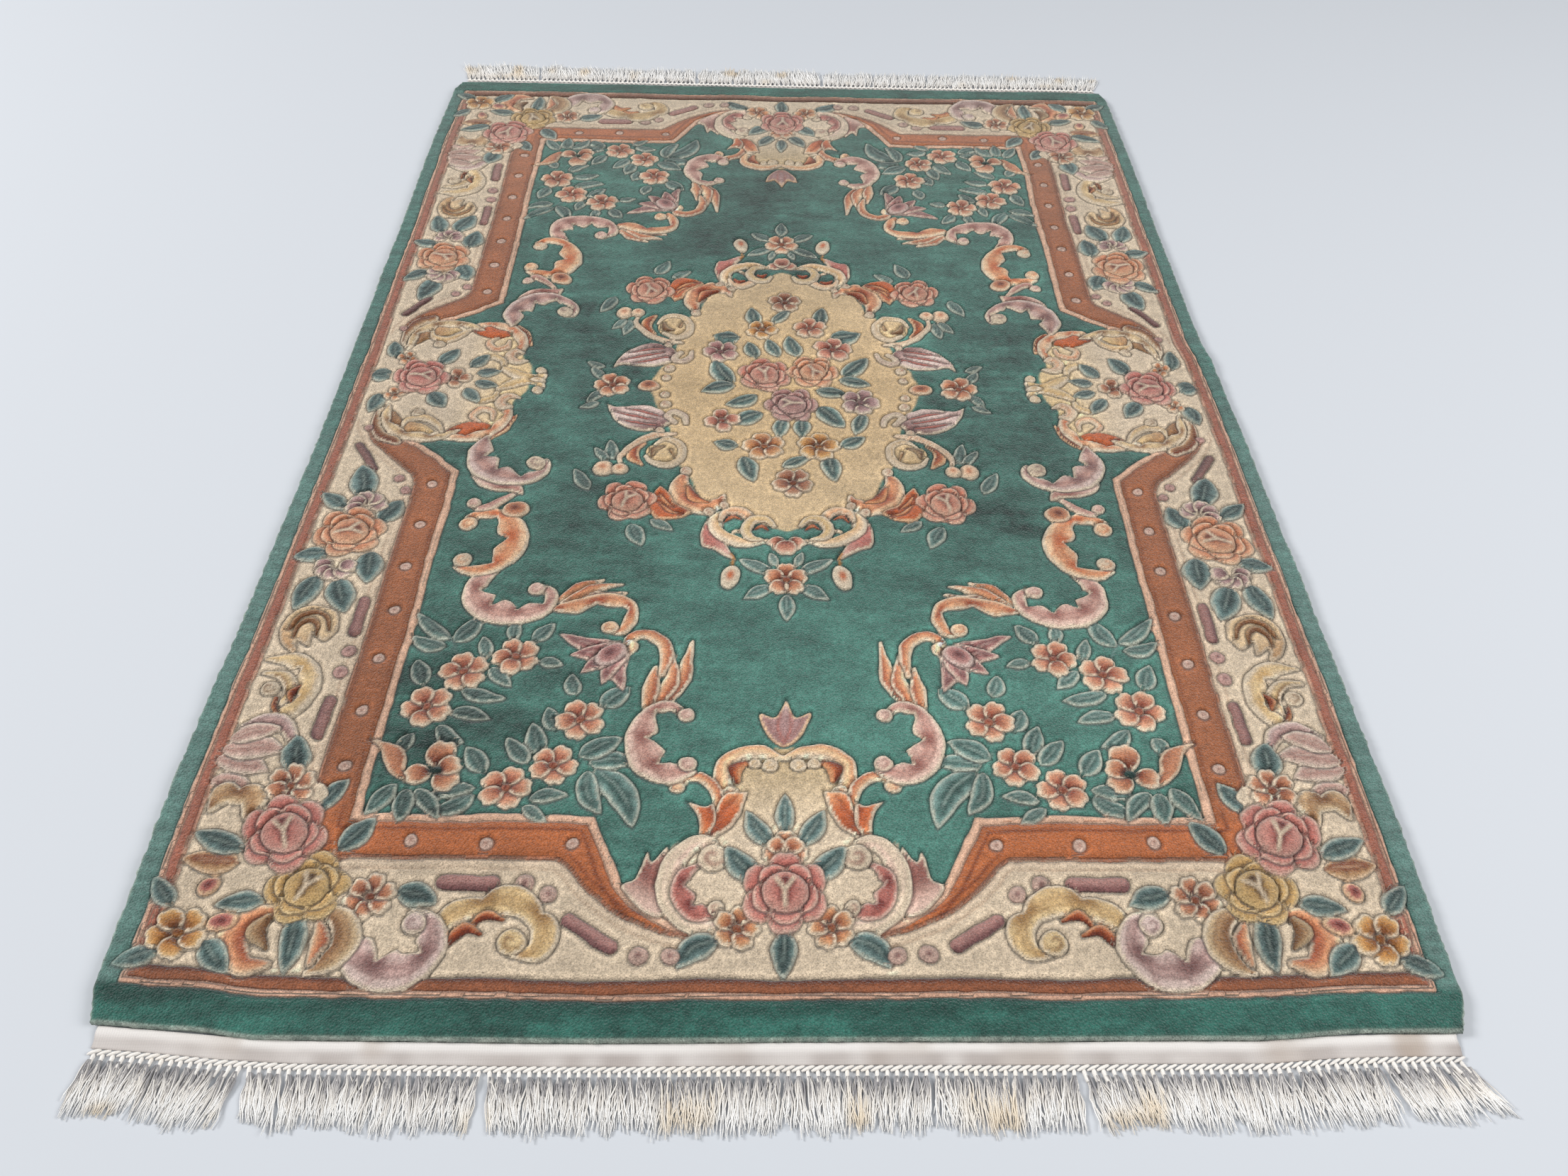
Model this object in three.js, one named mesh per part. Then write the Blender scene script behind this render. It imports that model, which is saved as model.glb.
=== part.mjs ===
// Chinese Aubusson rug, flat on the floor: a thick knotted wool pile with a woven cotton web and a
// knotted fringe at each end. Millimetres, +Z up. The origin is on the floor under the middle of the
// pile, +X runs across the rug and +Y along it, and the front end is at -Y.
import * as THREE from "three";

const PILE = { thickness: 17, cornerX: 915, cornerY: 1385, columns: 20, rows: 64 };
// The wall of the pile from the floor up: how far each level is drawn in, and its height.
const PILE_WALL = [
  { inset: 2, height: 0 },
  { inset: 0, height: 5 },
  { inset: 0, height: 11.5 },
  { inset: 3, height: 15.4 },
];
const PILE_TOP_INSET = 8;

// The cut edge is slightly uneven: both sides along the length, and both ends across the width.
const SIDES = [
  { y: -1385, left: -915, right: 915 },
  { y: -1330, left: -929, right: 932 },
  { y: -1000, left: -933, right: 939 },
  { y: -600, left: -925, right: 938 },
  { y: -200, left: -920, right: 937 },
  { y: 80, left: -921, right: 934 },
  { y: 165, left: -922, right: 925 },
  { y: 600, left: -925, right: 925 },
  { y: 1000, left: -930, right: 928 },
  { y: 1330, left: -928, right: 927 },
  { y: 1385, left: -915, right: 915 },
];
const ENDS = [
  { x: -915, front: -1370, back: 1384 },
  { x: -800, front: -1377, back: 1386 },
  { x: -680, front: -1389, back: 1387 },
  { x: -300, front: -1391, back: 1384 },
  { x: 200, front: -1386, back: 1381 },
  { x: 620, front: -1382, back: 1383 },
  { x: 790, front: -1371, back: 1386 },
  { x: 915, front: -1370, back: 1383 },
];

// Low folds across the rug. Each runs from its strong side, at y, to where it dies out, at endY.
const FOLDS = [
  { strongX: 930, y: 138, fadeX: 250, endY: 62, rise: 4.5, spread: 38 },
  { strongX: 930, y: -520, fadeX: 100, endY: -545, rise: 2.2, spread: 48 },
  { strongX: -920, y: -800, fadeX: -150, endY: -770, rise: 2.2, spread: 52 },
  { strongX: -920, y: 420, fadeX: 0, endY: 455, rise: 1.8, spread: 55 },
];

const WEB = { halfWidth: 905, thickness: 2.5 };
// The web leaves the pile a little above the floor and comes down to it at the fringe.
const WEB_SECTION = [
  { across: 0, lift: 3.4 },
  { across: 8, lift: 3.1 },
  { across: 16, lift: 2.0 },
  { across: 23, lift: 0.7 },
  { across: 29, lift: 0 },
];
const WEB_DEPTH = WEB_SECTION.at(-1).across;

const FRINGE = {
  tassels: 140,
  thickness: 4,
  headDepth: 20,
  rootWidth: 9.4,
  tipWidth: 7.2,
  tipGap: 1,
  gather: 0.9, // the tips of a group stand this much closer together than the roots
  leanWander: 1.2,
  lengthWander: 2.5,
};
// Tassels lie in groups. Each row is one group, up to x: the lean of its tips, and its length.
const FRONT_GROUPS = [
  { to: -765, lean: -12, length: 80 },
  { to: -692, lean: -24, length: 84 },
  { to: -600, lean: 8, length: 80 },
  { to: -430, lean: -2, length: 82 },
  { to: -392, lean: -8, length: 84 },
  { to: -250, lean: 5, length: 84 },
  { to: -108, lean: 3, length: 82 },
  { to: 8, lean: -3, length: 84 },
  { to: 92, lean: 5, length: 82 },
  { to: 190, lean: -3, length: 83 },
  { to: 340, lean: 2, length: 82 },
  { to: 392, lean: -6, length: 80 },
  { to: 560, lean: 12, length: 81 },
  { to: 604, lean: 6, length: 82 },
  { to: 672, lean: 4, length: 82 },
  { to: 790, lean: 14, length: 81 },
  { to: 870, lean: 25, length: 80 },
  { to: 905, lean: 37, length: 76 },
];
const BACK_GROUPS = [
  { to: -862, lean: -24, length: 84 },
  { to: -775, lean: -28, length: 90 },
  { to: -700, lean: -20, length: 88 },
  { to: -640, lean: -4, length: 92 },
  { to: -520, lean: -18, length: 88 },
  { to: -400, lean: -8, length: 84 },
  { to: -250, lean: -4, length: 86 },
  { to: -110, lean: 4, length: 86 },
  { to: 110, lean: -8, length: 88 },
  { to: 260, lean: 6, length: 83 },
  { to: 420, lean: 10, length: 82 },
  { to: 600, lean: 12, length: 84 },
  { to: 760, lean: 14, length: 83 },
  { to: 850, lean: 12, length: 82 },
  { to: 905, lean: 22, length: 80 },
];

const GAP = 0.3; // clearance between neighbouring pieces

// The value of one column of a table at a place between its rows, eased from row to row.
function along(table, key, column, place) {
  const next = table.findIndex((row) => row[key] >= place);
  if (next === 0) return table[0][column];
  if (next < 0) return table.at(-1)[column];
  const [a, b] = [table[next - 1], table[next]];
  const t = (place - a[key]) / (b[key] - a[key]);
  return THREE.MathUtils.lerp(a[column], b[column], THREE.MathUtils.smoothstep(t, 0, 1));
}

// A repeatable uneven value between -1 and 1 for the item with this number.
function uneven(number) {
  const wave = Math.sin(number * 12.9898 + 4.137) * 43758.5453;
  return 2 * (wave - Math.floor(wave)) - 1;
}

// Where column number i of the pile meets either end of the rug.
function columnX(i) {
  return THREE.MathUtils.lerp(-PILE.cornerX, PILE.cornerX, i / PILE.columns);
}

// A point of the pile's plan in column i and row j, drawn in from the edge by inset.
function planPoint(i, j, inset) {
  const v = j / PILE.rows;
  const sideY = THREE.MathUtils.lerp(-PILE.cornerY, PILE.cornerY, v);
  const left = along(SIDES, "y", "left", sideY) + inset;
  const right = along(SIDES, "y", "right", sideY) - inset;
  const front = along(ENDS, "x", "front", columnX(i)) + inset;
  const back = along(ENDS, "x", "back", columnX(i)) - inset;
  return {
    x: THREE.MathUtils.lerp(left, right, i / PILE.columns),
    y: THREE.MathUtils.lerp(front, back, v),
  };
}

// The height of the pile's upper surface: its thickness and the low folds. A fold is a bell across
// its own line, as high as rise at its strong side, and it fades evenly along the line.
function pileHeight(x, y) {
  let height = PILE.thickness;
  for (const fold of FOLDS) {
    const t = (x - fold.fadeX) / (fold.strongX - fold.fadeX);
    const strength = THREE.MathUtils.smoothstep(t, 0, 1);
    const lineY = THREE.MathUtils.lerp(fold.endY, fold.y, THREE.MathUtils.clamp(t, 0, 1));
    height += fold.rise * strength * Math.exp(-(((y - lineY) / fold.spread) ** 2));
  }
  return height;
}

// The pile: rings of the same plan points make its wall, a flat face closes the bottom ring, and a
// grid inside the last ring makes the top.
function pileGeometry() {
  const { columns, rows } = PILE;
  const loop = [];
  for (let i = 0; i < columns; i++) loop.push([i, 0]);
  for (let j = 0; j < rows; j++) loop.push([columns, j]);
  for (let i = columns; i > 0; i--) loop.push([i, rows]);
  for (let j = rows; j > 0; j--) loop.push([0, j]);

  const points = [];
  const faces = [];
  for (const level of PILE_WALL) {
    for (const [i, j] of loop) {
      const p = planPoint(i, j, level.inset);
      const share = level.height / PILE.thickness;
      points.push([p.x, p.y, share * pileHeight(p.x, p.y)]);
    }
  }
  const grid = [];
  for (let j = 0; j <= rows; j++) {
    for (let i = 0; i <= columns; i++) {
      const p = planPoint(i, j, PILE_TOP_INSET);
      grid.push(points.length);
      points.push([p.x, p.y, pileHeight(p.x, p.y)]);
    }
  }
  const gridAt = (i, j) => grid[j * (columns + 1) + i];

  const floorRing = points.slice(0, loop.length).map(([x, y]) => new THREE.Vector2(x, y));
  for (const [a, b, c] of THREE.ShapeUtils.triangulateShape(floorRing, [])) faces.push([a, c, b]);
  loop.forEach(([i, j], here) => {
    const beside = (here + 1) % loop.length;
    for (let level = 1; level < PILE_WALL.length; level++) {
      const low = (level - 1) * loop.length;
      const high = level * loop.length;
      faces.push([low + here, low + beside, high + beside], [low + here, high + beside, high + here]);
    }
    const rim = (PILE_WALL.length - 1) * loop.length;
    const [nextI, nextJ] = loop[beside];
    faces.push([rim + here, rim + beside, gridAt(nextI, nextJ)]);
    faces.push([rim + here, gridAt(nextI, nextJ), gridAt(i, j)]);
  });
  for (let j = 0; j < rows; j++) {
    for (let i = 0; i < columns; i++) {
      const [a, b, c, d] = [gridAt(i, j), gridAt(i + 1, j), gridAt(i + 1, j + 1), gridAt(i, j + 1)];
      faces.push([a, b, c], [a, c, d]);
    }
  }
  return meshGeometry(points, faces);
}

// The y of a line this far beyond the pile at one end of the rug: the pile's end is straight from
// one of its columns to the next.
function beyondEnd(side, x, distance) {
  const sign = side === "front" ? -1 : 1;
  const place = ((x + PILE.cornerX) / (2 * PILE.cornerX)) * PILE.columns;
  const column = Math.min(Math.floor(place), PILE.columns - 1);
  const near = along(ENDS, "x", side, columnX(column));
  const far = along(ENDS, "x", side, columnX(column + 1));
  return THREE.MathUtils.lerp(near, far, place - column) + sign * (GAP + distance);
}

// The places across the rug where the web and the fringe bend with the end of the pile.
function webStations() {
  const inside = Array.from({ length: PILE.columns - 1 }, (_, k) => columnX(k + 1));
  return [-WEB.halfWidth, ...inside, WEB.halfWidth];
}

// The web: its section carried across the rug along the end of the pile.
function webGeometry(side) {
  const sign = side === "front" ? -1 : 1;
  const section = [
    ...WEB_SECTION.map((s) => [s.across, s.lift]),
    ...WEB_SECTION.toReversed().map((s) => [s.across, s.lift + WEB.thickness]),
  ];
  const points = [];
  const faces = [];
  const count = section.length;
  const stations = webStations();
  for (const x of stations) {
    for (const [across, z] of section) points.push([x, beyondEnd(side, x, across), z]);
  }
  const quad = (a, b, c, d) => {
    if (sign > 0) faces.push([a, c, b], [a, d, c]);
    else faces.push([a, b, c], [a, c, d]);
  };
  for (let k = 0; k < stations.length - 1; k++) {
    for (let s = 0; s < count; s++) {
      const next = (s + 1) % count;
      quad(k * count + next, k * count + s, (k + 1) * count + s, (k + 1) * count + next);
    }
  }
  const lastStation = (stations.length - 1) * count;
  for (let s = 0; s < WEB_SECTION.length - 1; s++) {
    const [low, lowNext] = [s, s + 1];
    const [highNext, high] = [count - 2 - s, count - 1 - s];
    quad(low, lowNext, highNext, high);
    quad(lastStation + low, lastStation + high, lastStation + highNext, lastStation + lowNext);
  }
  return meshGeometry(points, faces);
}

// The fringe: one comb. Its back follows the web, and each tooth is a tassel whose tip leans with
// its group and keeps clear of the tip before it.
function fringeGeometry(side, groups) {
  const pitch = (2 * WEB.halfWidth) / FRINGE.tassels;
  const outline = [];
  let previousTip = -Infinity;
  let groupStart = -WEB.halfWidth;
  let group = 0;
  for (let k = 0; k < FRINGE.tassels; k++) {
    const root = -WEB.halfWidth + (k + 0.5) * pitch;
    while (root > groups[group].to) groupStart = groups[group++].to;
    const { to, lean, length } = groups[group];
    const middle = (groupStart + to) / 2;
    const wander = FRINGE.leanWander * uneven(k);
    const wanted = middle + (root - middle) * FRINGE.gather + lean + wander;
    const tip = Math.max(wanted, previousTip + FRINGE.tipWidth + FRINGE.tipGap);
    previousTip = tip;
    const reach = length + FRINGE.lengthWander * uneven(FRINGE.tassels + k);
    const rootY = beyondEnd(side, root, WEB_DEPTH + GAP + FRINGE.headDepth);
    const tipY = beyondEnd(side, root, WEB_DEPTH + GAP + reach);
    outline.push([root - FRINGE.rootWidth / 2, rootY], [tip - FRINGE.tipWidth / 2, tipY]);
    outline.push([tip + FRINGE.tipWidth / 2, tipY], [root + FRINGE.rootWidth / 2, rootY]);
  }
  for (const x of webStations().toReversed()) outline.push([x, beyondEnd(side, x, WEB_DEPTH + GAP)]);
  const shape = new THREE.Shape(outline.map(([x, y]) => new THREE.Vector2(x, y)));
  return new THREE.ExtrudeGeometry(shape, { depth: FRINGE.thickness, bevelEnabled: false });
}

function meshGeometry(points, faces) {
  const geometry = new THREE.BufferGeometry();
  geometry.setAttribute("position", new THREE.Float32BufferAttribute(points.flat(), 3));
  geometry.setIndex(faces.flat());
  geometry.computeVertexNormals();
  return geometry;
}

function piece(name, geometry, color) {
  const mesh = new THREE.Mesh(geometry, new THREE.MeshStandardMaterial({ color, roughness: 0.95, metalness: 0 }));
  mesh.name = name;
  return mesh;
}

const GREEN_WOOL = 0x4a8073;
const CREAM_COTTON = 0xd8cfc2;
const FRINGE_COTTON = 0xe2dacb;

const rug = new THREE.Group();
rug.add(
  piece("pile_body", pileGeometry(), GREEN_WOOL),
  piece("end_web_front", webGeometry("front"), CREAM_COTTON),
  piece("end_web_back", webGeometry("back"), CREAM_COTTON),
  piece("fringe_front", fringeGeometry("front", FRONT_GROUPS), FRINGE_COTTON),
  piece("fringe_back", fringeGeometry("back", BACK_GROUPS), FRINGE_COTTON),
);

export default rug;
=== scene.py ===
import bpy
import numpy as np
from mathutils import Matrix


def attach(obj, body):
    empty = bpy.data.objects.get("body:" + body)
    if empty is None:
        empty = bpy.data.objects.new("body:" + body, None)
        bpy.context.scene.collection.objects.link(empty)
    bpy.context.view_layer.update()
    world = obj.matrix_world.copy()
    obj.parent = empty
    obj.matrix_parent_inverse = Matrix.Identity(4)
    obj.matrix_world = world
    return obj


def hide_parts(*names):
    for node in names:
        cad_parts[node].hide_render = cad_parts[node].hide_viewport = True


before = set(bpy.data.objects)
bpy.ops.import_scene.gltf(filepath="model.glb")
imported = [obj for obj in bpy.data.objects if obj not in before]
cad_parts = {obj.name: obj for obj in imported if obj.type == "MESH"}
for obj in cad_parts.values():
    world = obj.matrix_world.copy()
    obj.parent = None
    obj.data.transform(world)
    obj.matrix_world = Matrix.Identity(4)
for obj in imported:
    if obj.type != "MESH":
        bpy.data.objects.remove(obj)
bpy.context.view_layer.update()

# The room for the rug: a plain pale floor, one large soft lamp high on the left, a weaker one on the
# right and even light from all round. The camera stands before the front end, a little left of the
# middle, and looks down the rug's length.
CAMERA_PLACE = (-0.0311, -2.0423, 1.5944)
CAMERA_TURN, CAMERA_TILT, CAMERA_ROLL = -1.3085, 42.8928, 1.6434  # degrees
LENS, SENSOR = 27.92, 36.0  # mm


def plain_material(name, colour, roughness):
    """A new node material with an even base colour and roughness, and its shader node."""
    material = bpy.data.materials.new(name)
    material.use_nodes = True
    shader = material.node_tree.nodes["Principled BSDF"]
    shader.inputs["Base Color"].default_value = (*colour, 1)
    shader.inputs["Roughness"].default_value = roughness
    return material, shader


def place_mesh(name, vertices, faces):
    """A new object at the origin from vertex places in metres and rows of vertex numbers."""
    mesh = bpy.data.meshes.new(name)
    mesh.from_pydata(vertices, [], faces)
    thing = bpy.data.objects.new(name, mesh)
    bpy.context.scene.collection.objects.link(thing)
    return thing


floor = place_mesh("studio_floor", [(-9, -9, 0), (9, -9, 0), (9, 9, 0), (-9, 9, 0)], [(0, 1, 2, 3)])
floor.data.materials.append(plain_material("pale_floor", (0.58, 0.60, 0.63), 0.85)[0])

for name, place, size, power in [
    ("lamp_left", (-8.0, 0.4, 6.0), 3.0, 720),
    ("lamp_right", (5.4, -2.0, 4.4), 3.5, 290),
]:
    lamp = bpy.data.objects.new(name, bpy.data.lights.new(name, "AREA"))
    lamp.data.size = size
    lamp.data.energy = power
    lamp.location = place
    towards = -lamp.location.normalized()
    lamp.rotation_euler = towards.to_track_quat("-Z", "Y").to_euler()
    bpy.context.scene.collection.objects.link(lamp)

world = bpy.data.worlds.new("soft_sky")
world.use_nodes = True
world.node_tree.nodes["Background"].inputs["Color"].default_value = (0.93, 0.96, 1.0, 1)
world.node_tree.nodes["Background"].inputs["Strength"].default_value = 0.48
bpy.context.scene.world = world
bpy.context.scene.view_settings.view_transform = "Standard"

camera = bpy.data.objects.new("camera", bpy.data.cameras.new("camera"))
camera.data.lens = LENS
camera.data.sensor_width = SENSOR
camera.matrix_world = (
    Matrix.Translation(CAMERA_PLACE)
    @ Matrix.Rotation(np.radians(CAMERA_TURN), 4, "Z")
    @ Matrix.Rotation(np.radians(CAMERA_TILT), 4, "X")
    @ Matrix.Rotation(np.radians(CAMERA_ROLL), 4, "Z")
)
bpy.context.scene.collection.objects.link(camera)
bpy.context.scene.camera = camera


# The foundation: a cotton cloth of warps and wefts that runs under the whole pile. Each pile knot is
# tied round its warps, so its back shows rows of fine ribs, tinted by the wool that they hold; here the
# ribs are left plain cotton with faint stains.
MM = 0.001
PILE_THICKNESS, CORNER_X, CORNER_Y = 17.0, 915.0, 1385.0
# The edges are slightly uneven: places of both sides along y, and of both ends along x, in mm.
SIDE_Y = (-1385, -1330, -1000, -600, -200, 80, 165, 600, 1000, 1330, 1385)
LEFT_X = (-915, -929, -933, -925, -920, -921, -922, -925, -930, -928, -915)
RIGHT_X = (915, 932, 939, 938, 937, 934, 925, 925, 928, 927, 915)
END_X = (-915, -800, -680, -300, 200, 620, 790, 915)
FRONT_Y = (-1370, -1377, -1389, -1391, -1386, -1382, -1371, -1370)
BACK_Y = (1384, 1386, 1387, 1384, 1381, 1383, 1386, 1383)
# Low folds: x and y of the strong side, x and y where it dies out, rise and spread.
FOLDS = (
    (930, 138, 250, 62, 4.5, 38), (930, -520, 100, -545, 2.2, 48),
    (-920, -800, -150, -770, 2.2, 52), (-920, 420, 0, 455, 1.8, 55),
)  # fmt: skip
BASE_INSET, BASE_UNDER, BASE_TOP = 2.0, 0.3, 2.3


def ease(low, high, value):
    """0 at low, 1 at high, and an S-curve between, whichever of the two is larger."""
    t = np.clip((value - low) / (high - low), 0, 1)
    return t * t * (3 - 2 * t)


def along(stations, values, place):
    """The value at a place between its stations, eased from one to the next."""
    stations, values = np.array(stations, float), np.array(values, float)
    k = np.clip(np.searchsorted(stations, place) - 1, 0, len(stations) - 2)
    return values[k] + (values[k + 1] - values[k]) * ease(stations[k], stations[k + 1], place)


def plan(u, v, inset):
    """The place in mm of the share u across and v along the pile, drawn in from its edges by inset."""
    side_y = CORNER_Y * (2 * v - 1)
    left, right = along(SIDE_Y, LEFT_X, side_y) + inset, along(SIDE_Y, RIGHT_X, side_y) - inset
    end_x = CORNER_X * (2 * u - 1)
    front, back = along(END_X, FRONT_Y, end_x) + inset, along(END_X, BACK_Y, end_x) - inset
    return left + (right - left) * u, front + (back - front) * v


def fold_height(x, y):
    """How far the low folds lift the rug: each is a bell across its line, fading along it."""
    height = np.zeros_like(x)
    for strong_x, strong_y, fade_x, end_y, rise, spread in FOLDS:
        t = (x - fade_x) / (strong_x - fade_x)
        line_y = end_y + (strong_y - end_y) * np.clip(t, 0, 1)
        height += rise * ease(0, 1, t) * np.exp(-(((y - line_y) / spread) ** 2))
    return height


def rim_loop(columns, rows):
    """Column and row numbers once round the edge of a grid, anticlockwise from its first corner."""
    i, j = np.arange(columns), np.arange(rows)
    across = np.concatenate([i, np.full(rows, columns), columns - i, np.zeros(rows, int)])
    up = np.concatenate([np.zeros(columns, int), j, np.full(columns, rows), rows - j])
    return across, up


def band_faces(low, high):
    """Quads between two closed rings of vertex numbers, the second above the first."""
    return np.stack([low, np.roll(low, -1), np.roll(high, -1), high], axis=1)


def node(tree, kind, inputs=(), **settings):
    """A shader node with its settings, its inputs set to values or linked to other nodes' outputs."""
    made = tree.nodes.new(kind)
    for name, value in settings.items():
        setattr(made, name, value)
    for name, value in dict(inputs).items():
        if isinstance(value, bpy.types.NodeSocket):
            tree.links.new(value, made.inputs[name])
        else:
            made.inputs[name].default_value = value
    return made


def maths(tree, operation, *values):
    """The output of a maths node, its values numbers or other nodes' outputs."""
    return node(tree, "ShaderNodeMath", dict(enumerate(values)), operation=operation).outputs[0]


def remap(tree, value, **ranges):
    """The output of a node that moves a value from one range to another."""
    made = node(tree, "ShaderNodeMapRange", {"Value": value})
    for name, edge in ranges.items():
        made.inputs[name.replace("_", " ").title()].default_value = edge
    return made.outputs[0]


def dress(tree, shader, colour, shade, height, strength, depth):
    """Gives the shader a colour scaled by a shade, and a bump of this height, strength and depth."""
    shaded = node(tree, "ShaderNodeVectorMath", {0: colour, "Scale": shade}, operation="SCALE")
    tree.links.new(shaded.outputs[0], shader.inputs["Base Color"])
    bump = node(tree, "ShaderNodeBump", {"Height": height, "Strength": strength, "Distance": depth})
    tree.links.new(bump.outputs[0], shader.inputs["Normal"])


RIB = 0.0034  # m between wefts
COTTON_TONE, STAIN_TONE = (0.52, 0.48, 0.41), (0.38, 0.36, 0.31)


def ribbed_cotton():
    """Plain woven cotton: wefts as ribs along the rug, the warps across them, and faint stains."""
    material, shader = plain_material("cotton_back", COTTON_TONE, 0.95)
    tree = material.node_tree
    place = node(tree, "ShaderNodeTexCoord").outputs["Object"]
    uneven = {"Vector": place, "Scale": 0.314 / RIB, "Distortion": 0.6, "Detail Scale": 1.0}
    wefts = node(tree, "ShaderNodeTexWave", uneven, bands_direction="Y").outputs["Fac"]
    even = {"Vector": place, "Scale": 0.314 / (1.7 * RIB)}
    warps = node(tree, "ShaderNodeTexWave", even, bands_direction="X").outputs["Fac"]
    weave = maths(tree, "MULTIPLY", wefts, warps)
    cloud = node(tree, "ShaderNodeTexNoise", {"Vector": place, "Scale": 22.0, "Detail": 3.0})
    tones = {"Factor": cloud.outputs["Fac"], 6: (*COTTON_TONE, 1), 7: (*STAIN_TONE, 1)}
    tint = node(tree, "ShaderNodeMix", tones, data_type="RGBA")
    shade = remap(tree, weave, to_min=0.72, to_max=1.0)
    dress(tree, shader, tint.outputs[2], shade, weave, 0.7, 0.4 * RIB)
    return material


BASE_COLUMNS, BASE_ROWS = 60, 90


def cotton_base():
    """The foundation: two rings of plan points, one above the other, closed by a flat face each."""
    i, j = rim_loop(BASE_COLUMNS, BASE_ROWS)
    x, y = plan(i / BASE_COLUMNS, j / BASE_ROWS, BASE_INSET)
    low = np.stack([x, y, np.full_like(x, BASE_UNDER)], 1)
    high = np.stack([x, y, np.full_like(x, BASE_TOP)], 1)
    ring = np.arange(len(x))
    faces = band_faces(ring, ring + len(x)).tolist() + [ring[::-1].tolist(), (ring + len(x)).tolist()]
    return place_mesh("cotton_base", (np.vstack([low, high]) * MM).tolist(), faces)


base = cotton_base()
base.data.materials.append(ribbed_cotton())
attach(base, "root")
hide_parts("pile_body")


# The pile: wool knots of about 3.5 mm, clipped level, then carved along every outline of the design so
# that flowers and scrolls stand out rounded. It is one pile, made here as four quarters that meet along
# the middle lines, and the dyed wools make a mirrored frame of scrolls round a medallion and posy.
def dye(red, green, blue):
    """A wool colour given as screen values from 0 to 255, turned into linear light."""
    screen = np.array([red, green, blue], float) / 255
    return np.where(screen > 0.04045, ((screen + 0.055) / 1.055) ** 2.4, screen / 12.92)


def wools(*tones):
    """The pale, middle and deep wool of one kind of motif, a row each."""
    return np.array([dye(*tone) for tone in tones])


FIELD_GREEN, BORDER_GREEN = dye(80, 122, 111), dye(60, 110, 99)
CREAM, SAND, IVORY = dye(216, 198, 174), dye(194, 172, 136), dye(238, 222, 198)
TEAL_LEAF = wools((172, 184, 174), (118, 139, 135), (42, 64, 62))
POSY_LEAF = wools((204, 210, 194), (112, 136, 130), (36, 58, 56))
GREY_LEAF = wools((176, 190, 180), (114, 140, 133), (44, 74, 68))
PINK_ROSE = wools((228, 194, 178), (192, 126, 114), (120, 56, 52))
ORANGE_ROSE = wools((236, 206, 176), (202, 142, 108), (128, 68, 46))
GOLD_ROSE = wools((226, 200, 152), (190, 156, 104), (94, 64, 34))
MAUVE_ROSE = wools((218, 188, 178), (174, 130, 122), (108, 72, 72))
PEACH_FLOWER = wools((238, 214, 186), (208, 150, 120), (142, 76, 58))
AMBER_FLOWER = wools((232, 204, 156), (200, 148, 88), (122, 70, 30))
MAUVE_FLOWER = wools((214, 192, 182), (176, 142, 138), (112, 80, 80))
GOLD_SCROLL = wools((226, 200, 156), (202, 168, 118), (122, 80, 38))
BROWN_SCROLL = wools((218, 192, 156), (194, 156, 116), (134, 92, 58))
PEACH_SCROLL = wools((238, 204, 168), (218, 158, 118), (164, 84, 56))
RUST_SCROLL = wools((232, 176, 132), (198, 112, 68), (124, 56, 30))
PINK_SCROLL = wools((230, 200, 184), (204, 162, 148), (152, 102, 92))
MAUVE_SCROLL = wools((222, 200, 190), (192, 160, 152), (132, 96, 92))


PALE_GOLD, RICH_GOLD = [CREAM, *GOLD_SCROLL[:2]], [CREAM, *GOLD_SCROLL[[0, 2]]]
PALE_PEACH, PALE_PINK = [CREAM, *PEACH_SCROLL[:2]], [CREAM, *PINK_SCROLL[[0, 2]]]


def mix(one, other, share):
    """Part of the way from one colour to the other, at each point of share."""
    return one + (other - one) * np.asarray(share)[..., None]


def curve_through(points, steps=9):
    """A smooth curve through a few points: a cubic for each span, its slope set by the neighbours."""
    p = np.array(points, float)
    p = np.vstack([2 * p[0] - p[1], p, 2 * p[-1] - p[-2]])
    t = np.linspace(0, 1, steps, endpoint=False)[:, None]
    spans = [
        0.5 * (2 * b + (c - a) * t + (2 * a - 5 * b + 4 * c - d) * t**2 + (3 * b - a - 3 * c + d) * t**3)
        for a, b, c, d in zip(p, p[1:], p[2:], p[3:])
    ]
    return np.vstack(spans + [p[-2:-1]])


def beside(x, y, curve):
    """For each point, how far along the curve it lies, 0 to 1, and how far to the left of it, in mm."""
    start, step = curve[:-1], np.diff(curve, axis=0)
    length = np.hypot(*step.T)
    rel_x, rel_y = x[..., None] - start[:, 0], y[..., None] - start[:, 1]
    share = np.clip((rel_x * step[:, 0] + rel_y * step[:, 1]) / length**2, 0, 1)
    away = np.hypot(rel_x - share * step[:, 0], rel_y - share * step[:, 1])
    left = np.where(step[:, 0] * rel_y > step[:, 1] * rel_x, 1, -1)
    nearest = np.argmin(away, axis=-1)[..., None]
    away, left, share = (np.take_along_axis(v, nearest, -1)[..., 0] for v in (away, left, share))
    nearest = nearest[..., 0]
    return ((np.cumsum(length) - length)[nearest] + share * length[nearest]) / length.sum(), left * away


FAR = 9.0  # mm from an edge, past which its distance isn't kept
FADE = 1.6  # mm over which one wool gives way to the next
# The carving beside an edge, in mm from it: how far off, how wide, how strong its painted shade, how deep;
# then where its shorn bank lies, how wide, and how strong the painted highlight on it.
TRENCH_AT, TRENCH_WIDE, TRENCH_PAINTED_SHADE, TRENCH_DEEP = 1.2, 2.2, 0.36, 1.8
BANK_AT, BANK_WIDE, BANK_PAINTED_HIGHLIGHT = 6.5, 3.5, 0.2
SWELL_REACH = 7


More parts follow.
